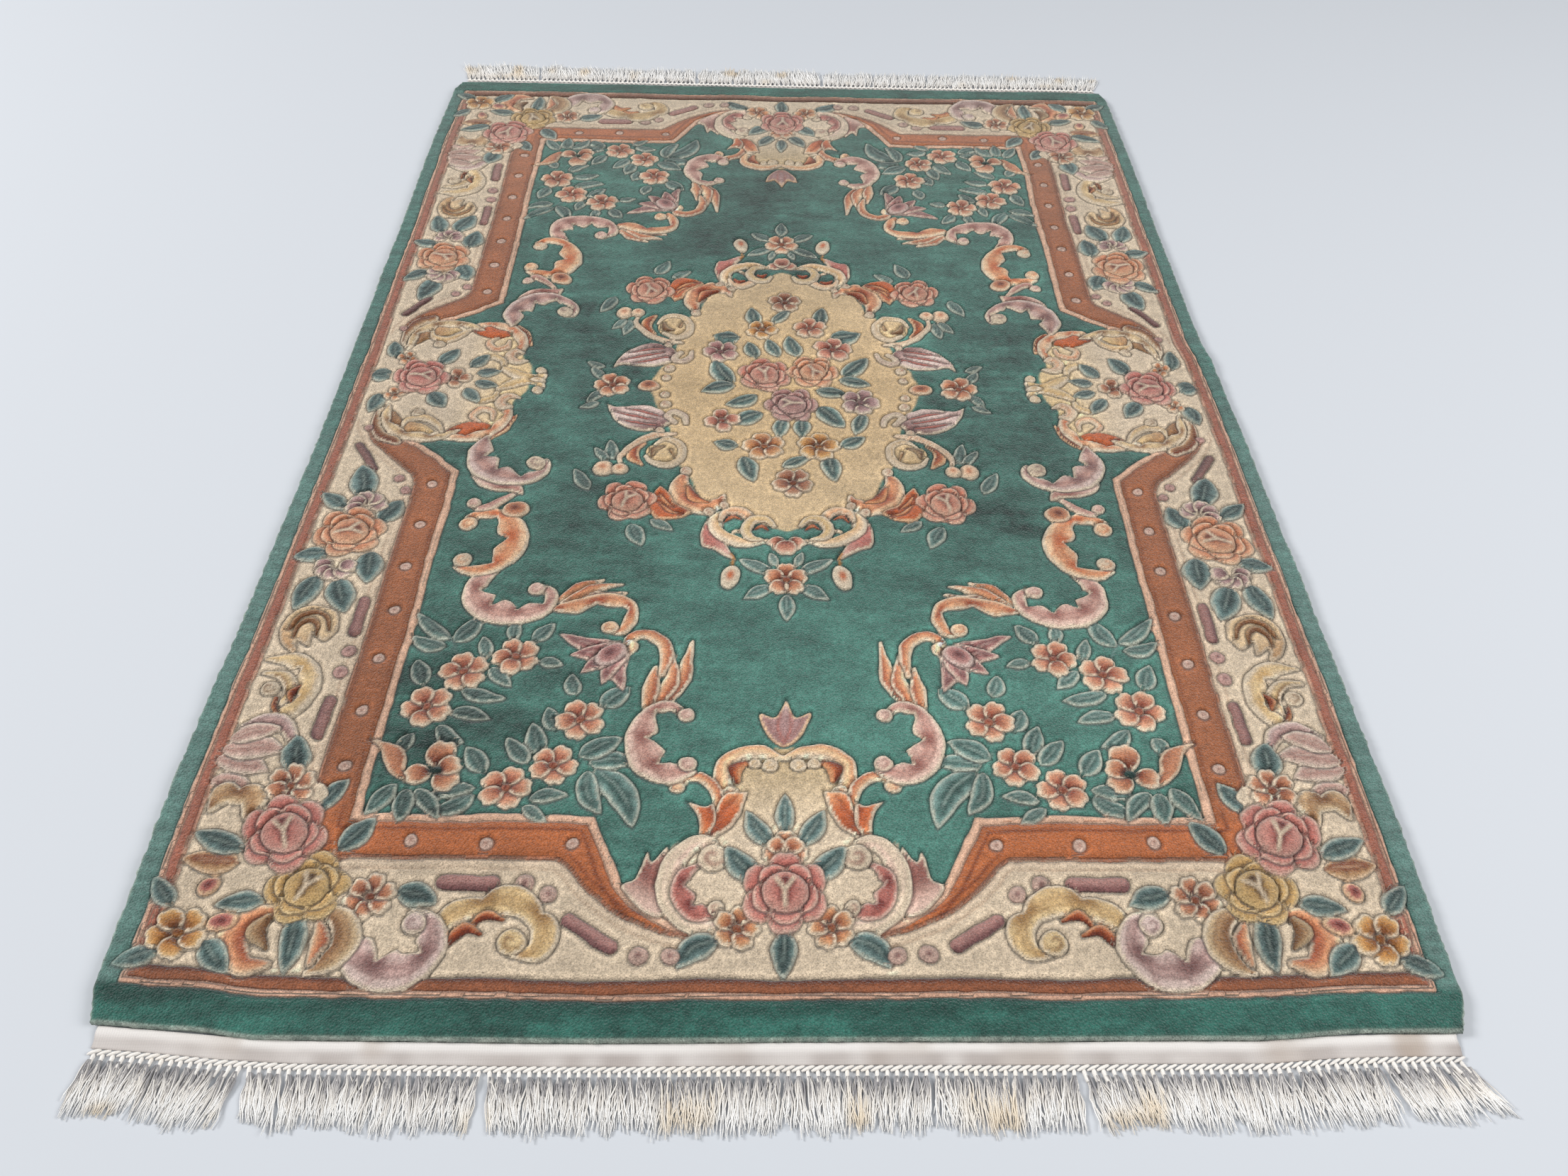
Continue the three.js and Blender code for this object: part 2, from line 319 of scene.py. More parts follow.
class Design:
    """The pile drawn at full size in mm, on a fine grid: its dye, its carved height and its edges.

    cut is how far, in mm, a point is from the nearest edge between two dyes: below 0 inside the shape
    which that edge belongs to, and never past FAR.
    """

    def __init__(self, x, y, ground):
        self.x, self.y = x, y
        self.dye = np.empty((len(y), len(x), 3), np.float32)
        self.dye[:] = ground
        self.rise = np.zeros((len(y), len(x)), np.float32)
        self.cut = np.full((len(y), len(x)), FAR, np.float32)
        self.stacked = None
        self.slopes = None

    def at(self, x, y):
        """Dye and rise between the grid's own points, each shared between the four around it."""
        step = self.x[1] - self.x[0]
        column = np.clip((x - self.x[0]) / step, 0, len(self.x) - 1.001)
        row = np.clip((y - self.y[0]) / step, 0, len(self.y) - 1.001)
        i, j = column.astype(int), row.astype(int)
        u, v = (column - i)[..., None], (row - j)[..., None]
        both = self.dye_and_rise()
        low = both[j, i] * (1 - u) + both[j, i + 1] * u
        return low * (1 - v) + (both[j + 1, i] * (1 - u) + both[j + 1, i + 1] * u) * v

    def dye_and_rise(self):
        """The dye and the rise as one array, stacked once the drawing is finished."""
        if self.stacked is None:
            self.stacked = np.dstack([self.dye, self.rise])
        return self.stacked

    def edge(self, x, y):
        """The cut at the nearest grid point, and its slope, which points out of the shape."""
        if self.slopes is None:
            up, along = np.gradient(self.cut)
            size = np.hypot(up, along) + 1e-6
            self.slopes = along / size, up / size
        step = self.x[1] - self.x[0]
        i = np.clip(np.rint((x - self.x[0]) / step), 0, len(self.x) - 1).astype(int)
        j = np.clip(np.rint((y - self.y[0]) / step), 0, len(self.y) - 1).astype(int)
        off_x, off_y = x - self.x[i], y - self.y[j]
        slope_x, slope_y = self.slopes[0][j, i], self.slopes[1][j, i]
        cut = self.cut[j, i]
        return np.where(np.abs(cut) < 6, cut + off_x * slope_x + off_y * slope_y, cut), slope_x, slope_y

    def both_sides(self, x, y):
        """The dye inside and outside the nearest edge, the rise and the cut at each point.

        By an edge the two dyes are read 2 mm to either side of it. Elsewhere both are the mean of nine
        readings about the point.
        """
        step = self.x[1] - self.x[0]
        mean = sum(self.at(x + i * step, y + j * step) for i in (-1, 0, 1) for j in (-1, 0, 1)) / 9
        cut, slope_x, slope_y = self.edge(x, y)
        by_edge = (np.abs(cut) < 4)[..., None]
        inside, outside = (
            np.where(by_edge, self.at(x + slope_x * (aim - cut), y + slope_y * (aim - cut)), mean)[..., :3]
            for aim in (-2.2, 2.2)
        )
        return inside, outside, mean[..., 3], cut

    def window(self, low_x, low_y, high_x, high_y, spare=14):
        """The part of the grid inside a box, with some to spare, and its coordinates."""
        i = slice(*np.searchsorted(self.x, (low_x - spare, high_x + spare)))
        j = slice(*np.searchsorted(self.y, (low_y - spare, high_y + spare)))
        return (j, i), *np.meshgrid(self.x[i], self.y[j])

    def lay(self, where, distance, wool, line=None, line_width=5.0, dome=1.0, groove=1.0):
        """Lays a shape of wool where distance, in mm from its edge and negative inside, is below 0.

        The line is a paler strip along its edge. The pile swells by dome away from the edge. A groove is
        clipped just outside it, where painted shade darkens the dye, and the shorn bank beyond the groove
        is given a painted highlight, a little lighter.
        """
        if distance.size == 0:
            return
        inside = np.clip(0.5 - distance / FADE, 0, 1)
        trench = groove * np.exp(-(((distance - TRENCH_AT) / TRENCH_WIDE) ** 2))
        bank = BANK_PAINTED_HIGHLIGHT * groove * np.exp(-(((distance - BANK_AT) / BANK_WIDE) ** 2))
        if line is not None:
            wool = mix(wool, line, 0.9 * ease(-line_width, -0.5 * line_width, distance))
        # painted highlight on the bank and painted shade in the groove, laid on the dye
        ground = self.dye[where] * (1 + bank)[..., None]
        self.dye[where] = mix(ground, wool, inside) * (1 - TRENCH_PAINTED_SHADE * np.clip(trench, 0, 1))[..., None]
        if groove > 0.5:
            near = distance < np.abs(self.cut[where])
            self.cut[where] = np.where(near, np.maximum(distance, -FAR), self.cut[where])
        elif groove == 0:
            self.cut[where] = np.where(distance < 0, FAR, self.cut[where])
        swell = dome * (1 - np.exp(np.minimum(distance, 0) / SWELL_REACH))
        self.rise[where] = self.rise[where] * (1 - inside) + swell * inside - TRENCH_DEEP * trench

    def stroke(self, points, halves):
        """The window of a stroke through some points, the place along and across it, and its half width."""
        curve = curve_through(points)
        reach = max(halves)
        where, x, y = self.window(*(curve.min(0) - reach), *(curve.max(0) + reach))
        t, aside = beside(x, y, curve)
        return where, t, aside, np.interp(t, np.linspace(0, 1, len(halves)), halves)

    def disc(self, x0, y0, radius):
        """The window of a disc, and the place in it in the disc's own radii."""
        where, x, y = self.window(x0 - radius, y0 - radius, x0 + radius, y0 + radius)
        return where, (x - x0) / radius, (y - y0) / radius

    def leaf(self, base, tip, half, bend=0.0, wool=TEAL_LEAF):
        """A pointed leaf from base to tip: a lens about a bent midrib, with a dark heart and a pale rib."""
        base, tip = np.array(base, float), np.array(tip, float)
        run = tip - base
        middle = (base + tip) / 2 + bend * np.array([-run[1], run[0]]) / np.hypot(*run)
        pale, mid, deep = wool
        where, t, aside, _ = self.stroke([base, middle, tip], [half])
        edge = half * np.sin(np.pi * np.clip(t, 0.001, 0.999) ** 0.8) ** 0.75
        past = np.abs(aside) / np.maximum(edge, 1)
        veins = 0.5 + 0.5 * np.cos(2 * np.pi * (t * 5 - past * 0.9))
        heart = ease(0.8, 0.3, past + 0.16 * veins + np.where(aside > 0, 0.1, 0)) * ease(1, 0.7, t)
        colour = mix(mix(mid, pale, ease(0.5, 0.95, past - 0.2 * veins)), deep, 0.9 * heart)
        rib = ease(2.2, 1.0, np.abs(aside)) * ease(0.04, 0.14, t) * ease(0.8, 0.6, t)
        colour = mix(colour, pale, 0.6 * rib)
        self.lay(where, np.abs(aside) - edge, colour, mix(pale, IVORY, 0.35), 5.0, dome=0.8, groove=0.95)

    def leaves(self, rows, wool=TEAL_LEAF):
        """Leaves from rows of base x and y, tip x and y, half width and bend."""
        for x, y, tip_x, tip_y, half, bend in rows:
            self.leaf((x, y), (tip_x, tip_y), half, bend, wool)

    def scroll(self, points, halves, wool, lobes=0, side=1, ball=0.0, line=IVORY):
        """A scroll: a tapering stroke, pale on its back and deep on its hollow side, which may be toothed.

        The ball is a round curl at its first point. side is 1 where the hollow is left of its run, or -1.
        The lobes swell past the hollow edge like the fingers of an acanthus leaf, dark between them.
        """
        pale, mid, deep = wool
        where, t, aside, half = self.stroke(points, halves)
        across = side * aside / np.maximum(half, 1)
        saw = (lobes * t) % 1
        gap = ease(0.36, 0.06, np.minimum(saw, 1 - saw)) if lobes else 1
        tooth = 0.5 + 0.85 * np.sin(np.pi * saw**1.3) ** 0.7 if lobes else 1
        edge = np.where(across > 0, half * tooth, half)
        colour = mix(mix(pale, mid, ease(-0.7, 0.05, across)), deep, 0.85 * ease(-0.05, 0.6, across) * gap)
        if lobes:
            colour = mix(colour, deep, 0.9 * gap * ease(-0.45, 0.0, across))
            colour = mix(colour, pale, 0.6 * (1 - gap) * ease(0.2, 0.8, across))
            vein = np.abs((2 * lobes * t + 0.5 * across) % 1 - 0.5)
            colour = mix(colour, mix(mid, deep, 0.5), 0.5 * ease(0.14, 0.04, vein) * ease(-0.95, -0.7,
                                                                                          across))
        grooves = ease(0.16, 0.04, np.abs(across + 0.3)) + 0.7 * ease(0.14, 0.04, np.abs(across - 0.2))
        colour = mix(colour, deep, 0.45 * grooves * ease(6, 10, half))
        self.lay(where, np.abs(aside) - edge, colour, line, min(6.0, 2.5 + 0.15 * max(halves)), dome=1.4)
        if ball:
            self.curl(*points[0], ball, wool, line)

    def curl(self, x0, y0, radius, wool, line=IVORY):
        """The round end of a scroll: a disc with one turn of a dark spiral."""
        where, u, v = self.disc(x0, y0, radius)
        away = np.hypot(u, v)
        turn = (1.2 * away - np.arctan2(v, u) / (2 * np.pi)) % 1
        colour = mix(wool[0], wool[2], 0.65 * ease(0.3, 0.1, np.abs(turn - 0.5)) * ease(0.85, 0.6, away))
        self.lay(where, (away - 1) * radius, colour, line, 4, dome=1.6)

    def oval(self, x0, y0, long, short, turn, wool, line=IVORY):
        """A bud, petal or dot: an ellipse, pale at its rim and deep at its heart."""
        where, u, v = self.disc(x0, y0, long)
        c, s = np.cos(np.radians(turn)), np.sin(np.radians(turn))
        share = np.hypot(u * c + v * s, (v * c - u * s) * long / short)
        colour = mix(mix(wool[2], wool[1], ease(0.1, 0.6, share)), wool[0], ease(0.6, 1, share))
        self.lay(where, (share - 1) * short, colour, line, dome=1.5)

    def petal(self, x0, y0, size, turn, wool, short=0.42):
        """One petal of an open flower about (x0, y0): deep and streaked at its root, pale at its rim."""
        reach, long = 0.56, 0.45
        pale, mid, deep = wool
        c, s = np.cos(np.radians(turn)), np.sin(np.radians(turn))
        where, u, v = self.disc(x0 + reach * size * c, y0 + reach * size * s, size)
        u, v = u * c + v * s, v * c - u * s
        notch = 0.09 * np.exp(-((v / 0.12) ** 2)) * (u > 0)
        distance = (np.hypot(u / long, v / short) - 1) * short + notch
        out = np.hypot(u + reach, v)
        streak = 0.5 + 0.5 * np.cos(v * 42)
        colour = mix(mix(deep, mid, ease(0.18, 0.6, out - 0.14 * streak)), pale, ease(0.6, 0.98, out))
        self.lay(where, distance * size, colour, IVORY, 4.4, dome=1.2, groove=0.75)

    def flower(self, x0, y0, size, turn, wool, petals=5, heart=None):
        """An open flower: overlapping petals about a small eye."""
        eye_size = 0.17 * size
        for k in range(petals):
            self.petal(x0, y0, size, turn + 360 / petals * k, wool, short=0.42 * min(1, 5 / petals))
        where, u, v = self.disc(x0, y0, eye_size)
        away = np.hypot(u, v)
        eye = mix(wool[1], wool[2] if heart is None else heart, ease(1.0, 0.5, away))
        self.lay(where, (away - 1) * eye_size, eye, dome=0.6, groove=0.7)

    def rose(self, x0, y0, size, turn, wool):
        """A full rose: two wreaths of petals, deep at their roots, about a round cup.

        In the cup, folded petals stand as a pale Y, its arms along turn, with deep shadow between them.
        """
        pale, mid, deep = wool
        for count, out_at, radius, start in ((6, 0.6, 0.41, 0), (5, 0.4, 0.37, 36)):
            for k in range(count):
                angle = np.radians(turn + start + 360 / count * k)
                px, py = x0 + out_at * size * np.cos(angle), y0 + out_at * size * np.sin(angle)
                where, u, v = self.disc(px, py, radius * size)
                out = np.hypot(u * radius + out_at * np.cos(angle), v * radius + out_at * np.sin(angle))
                out = out - out_at + 0.6 + 0.02 * np.cos(9 * np.arctan2(v, u))
                colour = mix(mix(deep, mid, ease(0.48, 0.84, out)), pale, 0.75 * ease(0.78, 1.02, out))
                distance = (np.hypot(u, v) - 1 + 0.05 * np.cos(3 * np.arctan2(v, u))) * radius * size
                self.lay(where, distance, colour, mix(pale, IVORY, 0.3), 3.2, dome=1.4, groove=0.8)
        radius = 0.52 * size
        where, x, y = self.disc(x0, y0, radius)
        c, s = np.cos(np.radians(turn)), np.sin(np.radians(turn))
        up, v = x * c + y * s, y * c - x * s
        away = np.hypot(up, v)
        reach = ease(0.86, 0.8, away)
        arms = np.where(up < 0, np.abs(v) - 0.09, np.abs(np.abs(v) - 0.62 * up) - 0.1)
        between = ease(0.0, 0.2, up - 0.22 - 1.5 * np.abs(v)) * ease(0.75, 0.6, away)
        colour = mix(mid, pale, 0.35 * ease(0.3, 0.9, away))
        colour = mix(colour, deep, 0.8 * ease(0.26, 0.08, arms) * ease(0.72, 0.5, away))
        colour = mix(colour, deep * 0.8, between)
        colour = mix(colour, CREAM * 0.95 + 0.05 * pale, ease(0.04, -0.03, arms) * reach)
        self.lay(where, (away - 1) * radius, colour, pale, 3.4, dome=2.0, groove=1.5)

    def bar(self, start, end, half, wool):
        """A long rounded bar, darker along one side."""
        where, _, aside, _ = self.stroke([start, np.add(start, end) / 2, end], [half])
        self.lay(where, np.abs(aside) - half, mix(wool[1], wool[2], 0.8 * ease(-0.2, 0.9, aside / half)))

    def ring(self, x0, y0, radius, wool):
        """A round dot with a paler ring about its heart."""
        where, u, v = self.disc(x0, y0, radius)
        away = np.hypot(u, v)
        colour = mix(mix(wool[1], wool[0], ease(0.35, 0.2, np.abs(away - 0.62))), wool[2],
                     0.7 * ease(0.4, 0.1, away))
        self.lay(where, (away - 1) * radius, colour, dome=0.8, groove=0.8)

    def stem(self, points, half=1.8, wool=GREY_LEAF):
        """A thin stem or carved line along a curve."""
        where, t, aside, _ = self.stroke(points, [half])
        self.lay(where, np.abs(aside) - half, np.broadcast_to(wool[1], t.shape + (3,)), dome=0.2, groove=0.4)

    def patch(self, outline, wool, tilt=0.0, line=IVORY, dome=1.2, groove=1.0):
        """A shape with a smooth closed outline, shaded from the first wool to the last across it.

        A point's distance is to the nearest edge, and it is inside where a ray from it crosses the
        outline an odd number of times. tilt turns the shading.
        """
        curve = curve_through([*outline, outline[0]], steps=6)
        where, x, y = self.window(*curve.min(0), *curve.max(0))
        _, aside = beside(x, y, curve)
        inside = np.zeros(x.shape, bool)
        for (ax, ay), (bx, by) in zip(curve, curve[1:]):
            inside ^= ((ay > y) != (by > y)) & (x < ax + (y - ay) * (bx - ax) / (by - ay + 1e-9))
        distance = np.where(inside, -1, 1) * np.abs(aside)
        c, s = np.cos(np.radians(tilt)), np.sin(np.radians(tilt))
        along = x * c + y * s
        low, high = (curve @ [c, s]).min(), (curve @ [c, s]).max()
        share = (along - low) / (high - low)
        colour = mix(mix(wool[0], wool[1], ease(0, 0.5, share)), wool[2], ease(0.5, 1, share))
        self.lay(where, distance, colour, line, 4.4, dome, groove)
# The rust band: from the end cartouche along the end, round the corner and along the side. The stations
# are x, y and half width, in mm from the middle of the rug.
BAND = [
    (118, 1238, 8), (170, 1222, 14), (225, 1190, 20), (262, 1152, 28), (292, 1108, 35), (322, 1084, 38),
    (380, 1081, 38), (530, 1081, 38), (668, 1081, 38), (672, 1076, 40), (672, 900, 40), (672, 600, 40),
    (672, 380, 40), (674, 318, 38), (694, 274, 35), (742, 238, 31), (790, 200, 26), (824, 158, 16),
]  # fmt: skip
GUARD_X, GUARD_Y, GUARD_WIDTH = 868, 1301, 29
BAND_DOTS = [(676, y) for y in range(317, 960, 107)] + [(313, 1092), (438, 1094), (548, 1089)]


def draw_ground(rug):
    """The green field, the cream border beyond the band, and the band's own stripes.

    The distance along the band tells its end run, where the stripes are crisper, from its side run.
    """
    curve = curve_through([station[:2] for station in BAND], steps=5)
    half_width = np.repeat([station[2] for station in BAND], 5)[: len(curve)].astype(float)
    half_width = np.convolve(np.pad(half_width, 2, "edge"), np.ones(5) / 5, "valid")
    for top in range(0, len(rug.y), 120):
        x, y = np.meshgrid(rug.x, rug.y[top : top + 120])
        where = (slice(top, top + 120), slice(None))
        t, aside = beside(x, y, curve)
        half = half_at(curve, t, half_width)
        end_run = ease(0.44, 0.40, t)
        border = (aside > 0) | ((x > 560) & (y > 1100)) | ((x > 700) & (y > 950)) | ((x > 760) & (y < 250))
        rug.dye[where][border] = CREAM
        shade = 0.22 * np.exp(-((aside - half) / 9)) * (aside > half)
        rug.dye[where] = mix(rug.dye[where], dye(170, 120, 96), shade)
        line = ease(2.4, 0.8, np.abs(aside - half - 15)) * ease(0, 4, aside)
        rug.dye[where] = mix(rug.dye[where], dye(176, 146, 122), 0.55 * line)
        rug.rise[where] -= 0.7 * line
        across = aside + half
        for low_x, high_x, low_y, high_y, level, lean in (
            (200, 420, 1020, 1150, y - 1043, 0.9 * (x - 286) + 0.436 * (y - 1043)),
            (600, 740, 215, 430, x - 632, 0.607 * (x - 632) + 0.794 * (y - 278)),
        ):
            corner = (x > low_x) & (x < high_x) & (y > low_y) & (y < high_y) & (aside < 0)
            across = np.where(corner, np.maximum(across, np.minimum(level, lean)), across)
        rust = mix(dye(172, 112, 76), dye(190, 118, 74), end_run)
        rust = mix(rust, rust * 0.72, ease(half * 0.3, half * 1.2, np.abs(aside)))
        lines = ease(3.2, 1.2, np.abs(across - 27)) * end_run
        lines = lines + ease(3, 1.2, np.abs(aside - half + 15)) * ease(0.17, 0.12, t)
        thin = ease(2.6, 1.0, np.abs(across - 19)) + ease(2.6, 1.0, np.abs(aside - half + 10))
        lines = lines + 0.6 * thin * (1 - end_run)
        rust = mix(rust, dye(112, 54, 32), 0.75 * np.clip(lines, 0, 1))
        pale = mix(dye(222, 184, 158), dye(192, 138, 112), ease(half - 12, half - 6, aside))
        rug.lay(where, np.maximum(-across, aside - half), pale, dome=0.6, groove=0.8)
        rug.lay(where, np.maximum(14 - across, aside - half + 5), rust, dome=0.8, groove=0.6)
    for x, y in BAND_DOTS:
        rug.ring(x, y, 10, wools((214, 186, 170), (190, 150, 132), (150, 110, 96)))


def half_at(curve, t, half_width):
    """The band's half width at a share t of its length."""
    travelled = np.concatenate([[0], np.cumsum(np.hypot(*np.diff(curve, axis=0).T))])
    return np.interp(t, travelled / travelled[-1], half_width)


def draw_guard(rug):
    """The narrow rose guard line and the plain green outside it, with square corners."""
    x, y = np.meshgrid(rug.x, rug.y)
    out = np.maximum(x - GUARD_X, y - GUARD_Y)
    at_end = ease(-4, 4, (y - GUARD_Y) - (x - GUARD_X))
    rose = mix(dye(172, 114, 94), mix(dye(104, 56, 34), dye(160, 104, 74), ease(3, 12, out)), at_end)
    pale = np.broadcast_to(dye(216, 176, 152), rose.shape)
    where = (slice(None), slice(None))
    rug.dye[out > GUARD_WIDTH / 2] = BORDER_GREEN
    rug.rise[out > 0] = 0
    rug.lay(where, np.abs(out - GUARD_WIDTH / 2) - GUARD_WIDTH / 2, pale, dome=0.6, groove=0.85)
    rug.lay(where, np.abs(out - 12 + 2 * at_end) - 7 - 3 * at_end, rose, dome=0.6, groove=0.6)


def draw_end_cartouche(rug):
    """The cartouche at the middle of each end: a cream ground, scrolls round it and a posy in it."""
    ground = [
        (-40, 918), (40, 918), (80, 934), (92, 965), (88, 1000), (106, 1040), (110, 1078), (160, 1090),
        (182, 1130), (184, 1180), (150, 1222), (120, 1240), (110, 1268), (0, 1280), (-60, 1268), (-60, 960),
    ]  # fmt: skip
    rug.patch(ground, (SAND, CREAM, CREAM), 90, line=None, dome=0, groove=0)
    rug.scroll([(84, 1004), (96, 978), (92, 946), (66, 926), (32, 924), (0, 938)], [8, 14, 16, 14, 12, 5],
               [CREAM, mix(GOLD_SCROLL[0], PEACH_SCROLL[0], 0.5), PEACH_SCROLL[1]])
    rug.scroll([(74, 980), (76, 958), (60, 944)], [5, 13, 4], RUST_SCROLL * 0.9, line=None)
    rug.curl(84, 1002, 13, PALE_PEACH)
    rug.curl(22, 950, 13, PALE_GOLD)
    rug.curl(46, 946, 10, PALE_GOLD)
    rug.patch([(0, 820), (10, 846), (19, 857), (41, 849), (33, 880), (20, 902), (0, 914), (-20, 902),
               (-33, 880), (-41, 849), (-19, 857), (-10, 846)], MAUVE_FLOWER[[0, 1, 1]], 90,
               line=PEACH_SCROLL[0])
    rug.stem([(8, 850), (10, 880), (0, 908)], 1.6, PINK_ROSE)
    rug.stem([(30, 860), (20, 884), (2, 908)], 1.6, MAUVE_ROSE)
    rug.scroll([(166, 990), (152, 972), (128, 974), (108, 996), (100, 1034)], [8, 10, 11, 10, 6],
               PEACH_SCROLL, ball=13)
    rug.patch([(58, 1000), (92, 1004), (106, 1036), (116, 1078), (90, 1070), (70, 1044)], RUST_SCROLL, 60)
    rug.patch([(150, 1016), (132, 1046), (128, 1084), (106, 1060), (108, 1022), (124, 1026)], RUST_SCROLL,
              200)
    rug.stem([(76, 1010), (94, 1036), (108, 1070)], 2, RUST_SCROLL * 0.8)
    rug.patch([(172, 1094), (192, 1120), (202, 1104), (212, 1146), (232, 1160), (200, 1200), (170, 1206),
               (166, 1150)], PINK_SCROLL[[1, 2, 0]], 60)
    rug.scroll([(100, 1112), (114, 1090), (142, 1096), (164, 1134), (160, 1184), (130, 1218), (94, 1226),
                (70, 1210)], [9, 13, 16, 18, 19, 18, 14, 6], [CREAM, CREAM, PINK_SCROLL[0]])
    rug.scroll([(124, 1126), (146, 1144), (146, 1176), (126, 1202), (96, 1204)], [5, 11, 15, 15, 6],
               [PINK_ROSE[1], PINK_ROSE[1], PINK_ROSE[2]], lobes=3, line=PINK_SCROLL[0])
    rug.curl(104, 1114, 22, PALE_PINK)
    rug.curl(96, 1196, 12, PALE_PINK)
    rug.leaves([(0, 1074, 0, 1004, 15, 0), (22, 1094, 60, 1034, 17, 3), (38, 1152, 88, 1096, 20, 3),
                (0, 1232, 0, 1300, 19, 0), (92, 1246, 150, 1286, 20, -10)])
    for turn, size in ((180, 36), (0, 36), (-90, 40), (-135, 34), (-45, 34)):
        rug.petal(0, 1108, size, turn, ORANGE_ROSE)
    rug.flower(66, 1226, 36, 40, AMBER_FLOWER * 0.4 + PEACH_FLOWER * 0.6)
    rug.rose(0, 1172, 64, -90, PINK_ROSE)


def draw_end_border(rug):
    """The cream border along the end: dots and bars beside the band, scrolls and flowers between."""
    mauve = wools((206, 168, 158), (178, 136, 128), (116, 76, 78))
    dots = wools((200, 172, 158), (170, 136, 126), (128, 92, 88))
    for x, y, radius in [(158, 1268, 13), (202, 1266, 14), (337, 1173, 13), (373, 1157, 14)]:
        rug.ring(x, y, radius, dots)
    rug.bar((243, 1252), (302, 1214), 11, mauve)
    rug.bar((420, 1157), (490, 1157), 12, mauve)
    rug.scroll([(372, 1266), (342, 1258), (338, 1222), (366, 1194), (410, 1186), (456, 1202), (496, 1236)],
               [12, 16, 20, 21, 20, 17, 8], GOLD_SCROLL * 0.6 + GOLD_SCROLL[[0, 0, 1]] * 0.4, lobes=3,
               side=-1)
    rug.curl(378, 1248, 20, GOLD_SCROLL)
    rug.scroll([(396, 1214), (420, 1206), (438, 1222)], [3, 8, 3], RUST_SCROLL * 0.9, line=None)
    rug.scroll([(422, 1236), (446, 1228), (470, 1246), (490, 1250)], [3, 9, 9, 4], RUST_SCROLL * 0.9,
               line=None)
    rug.scroll([(522, 1212), (494, 1224), (488, 1262), (520, 1294), (566, 1290), (602, 1258), (612, 1230)],
               [14, 18, 22, 26, 28, 24, 10], MAUVE_SCROLL, lobes=3, side=-1)
    rug.curl(520, 1222, 18, MAUVE_SCROLL)
    rug.leaves([(556, 1172, 494, 1192, 20, 4)])
    rug.flower(592, 1180, 40, 20, ORANGE_ROSE * 0.9, petals=6)
    rug.scroll([(652, 1196), (620, 1218), (610, 1254), (628, 1284), (650, 1296)], [10, 18, 22, 18, 6],
               BROWN_SCROLL * 0.9, side=-1)
    rug.scroll([(656, 1214), (644, 1246), (650, 1284)], [4, 14, 5], PEACH_SCROLL, line=CREAM)
    rug.scroll([(716, 1206), (750, 1222), (764, 1256), (740, 1290), (708, 1286)], [10, 20, 24, 20, 8],
               PEACH_SCROLL, line=CREAM)
    rug.scroll([(724, 1216), (734, 1240), (716, 1262)], [5, 15, 4], BROWN_SCROLL * 0.8, line=None)
    rug.leaves([(688, 1206, 682, 1300, 19, 5)])
    rug.oval(786, 1232, 22, 15, 20, PINK_ROSE, PEACH_SCROLL[0])
    rug.oval(822, 1178, 18, 14, 60, PINK_ROSE, PEACH_SCROLL[0])
    rug.leaves([(738, 1192, 806, 1208, 17, 0), (862, 1212, 902, 1168, 17, 0), (804, 1262, 756, 1306, 21, 0),
                (860, 1280, 916, 1306, 17, 0)])
    rug.flower(842, 1252, 44, 18, AMBER_FLOWER, heart=AMBER_FLOWER[2])


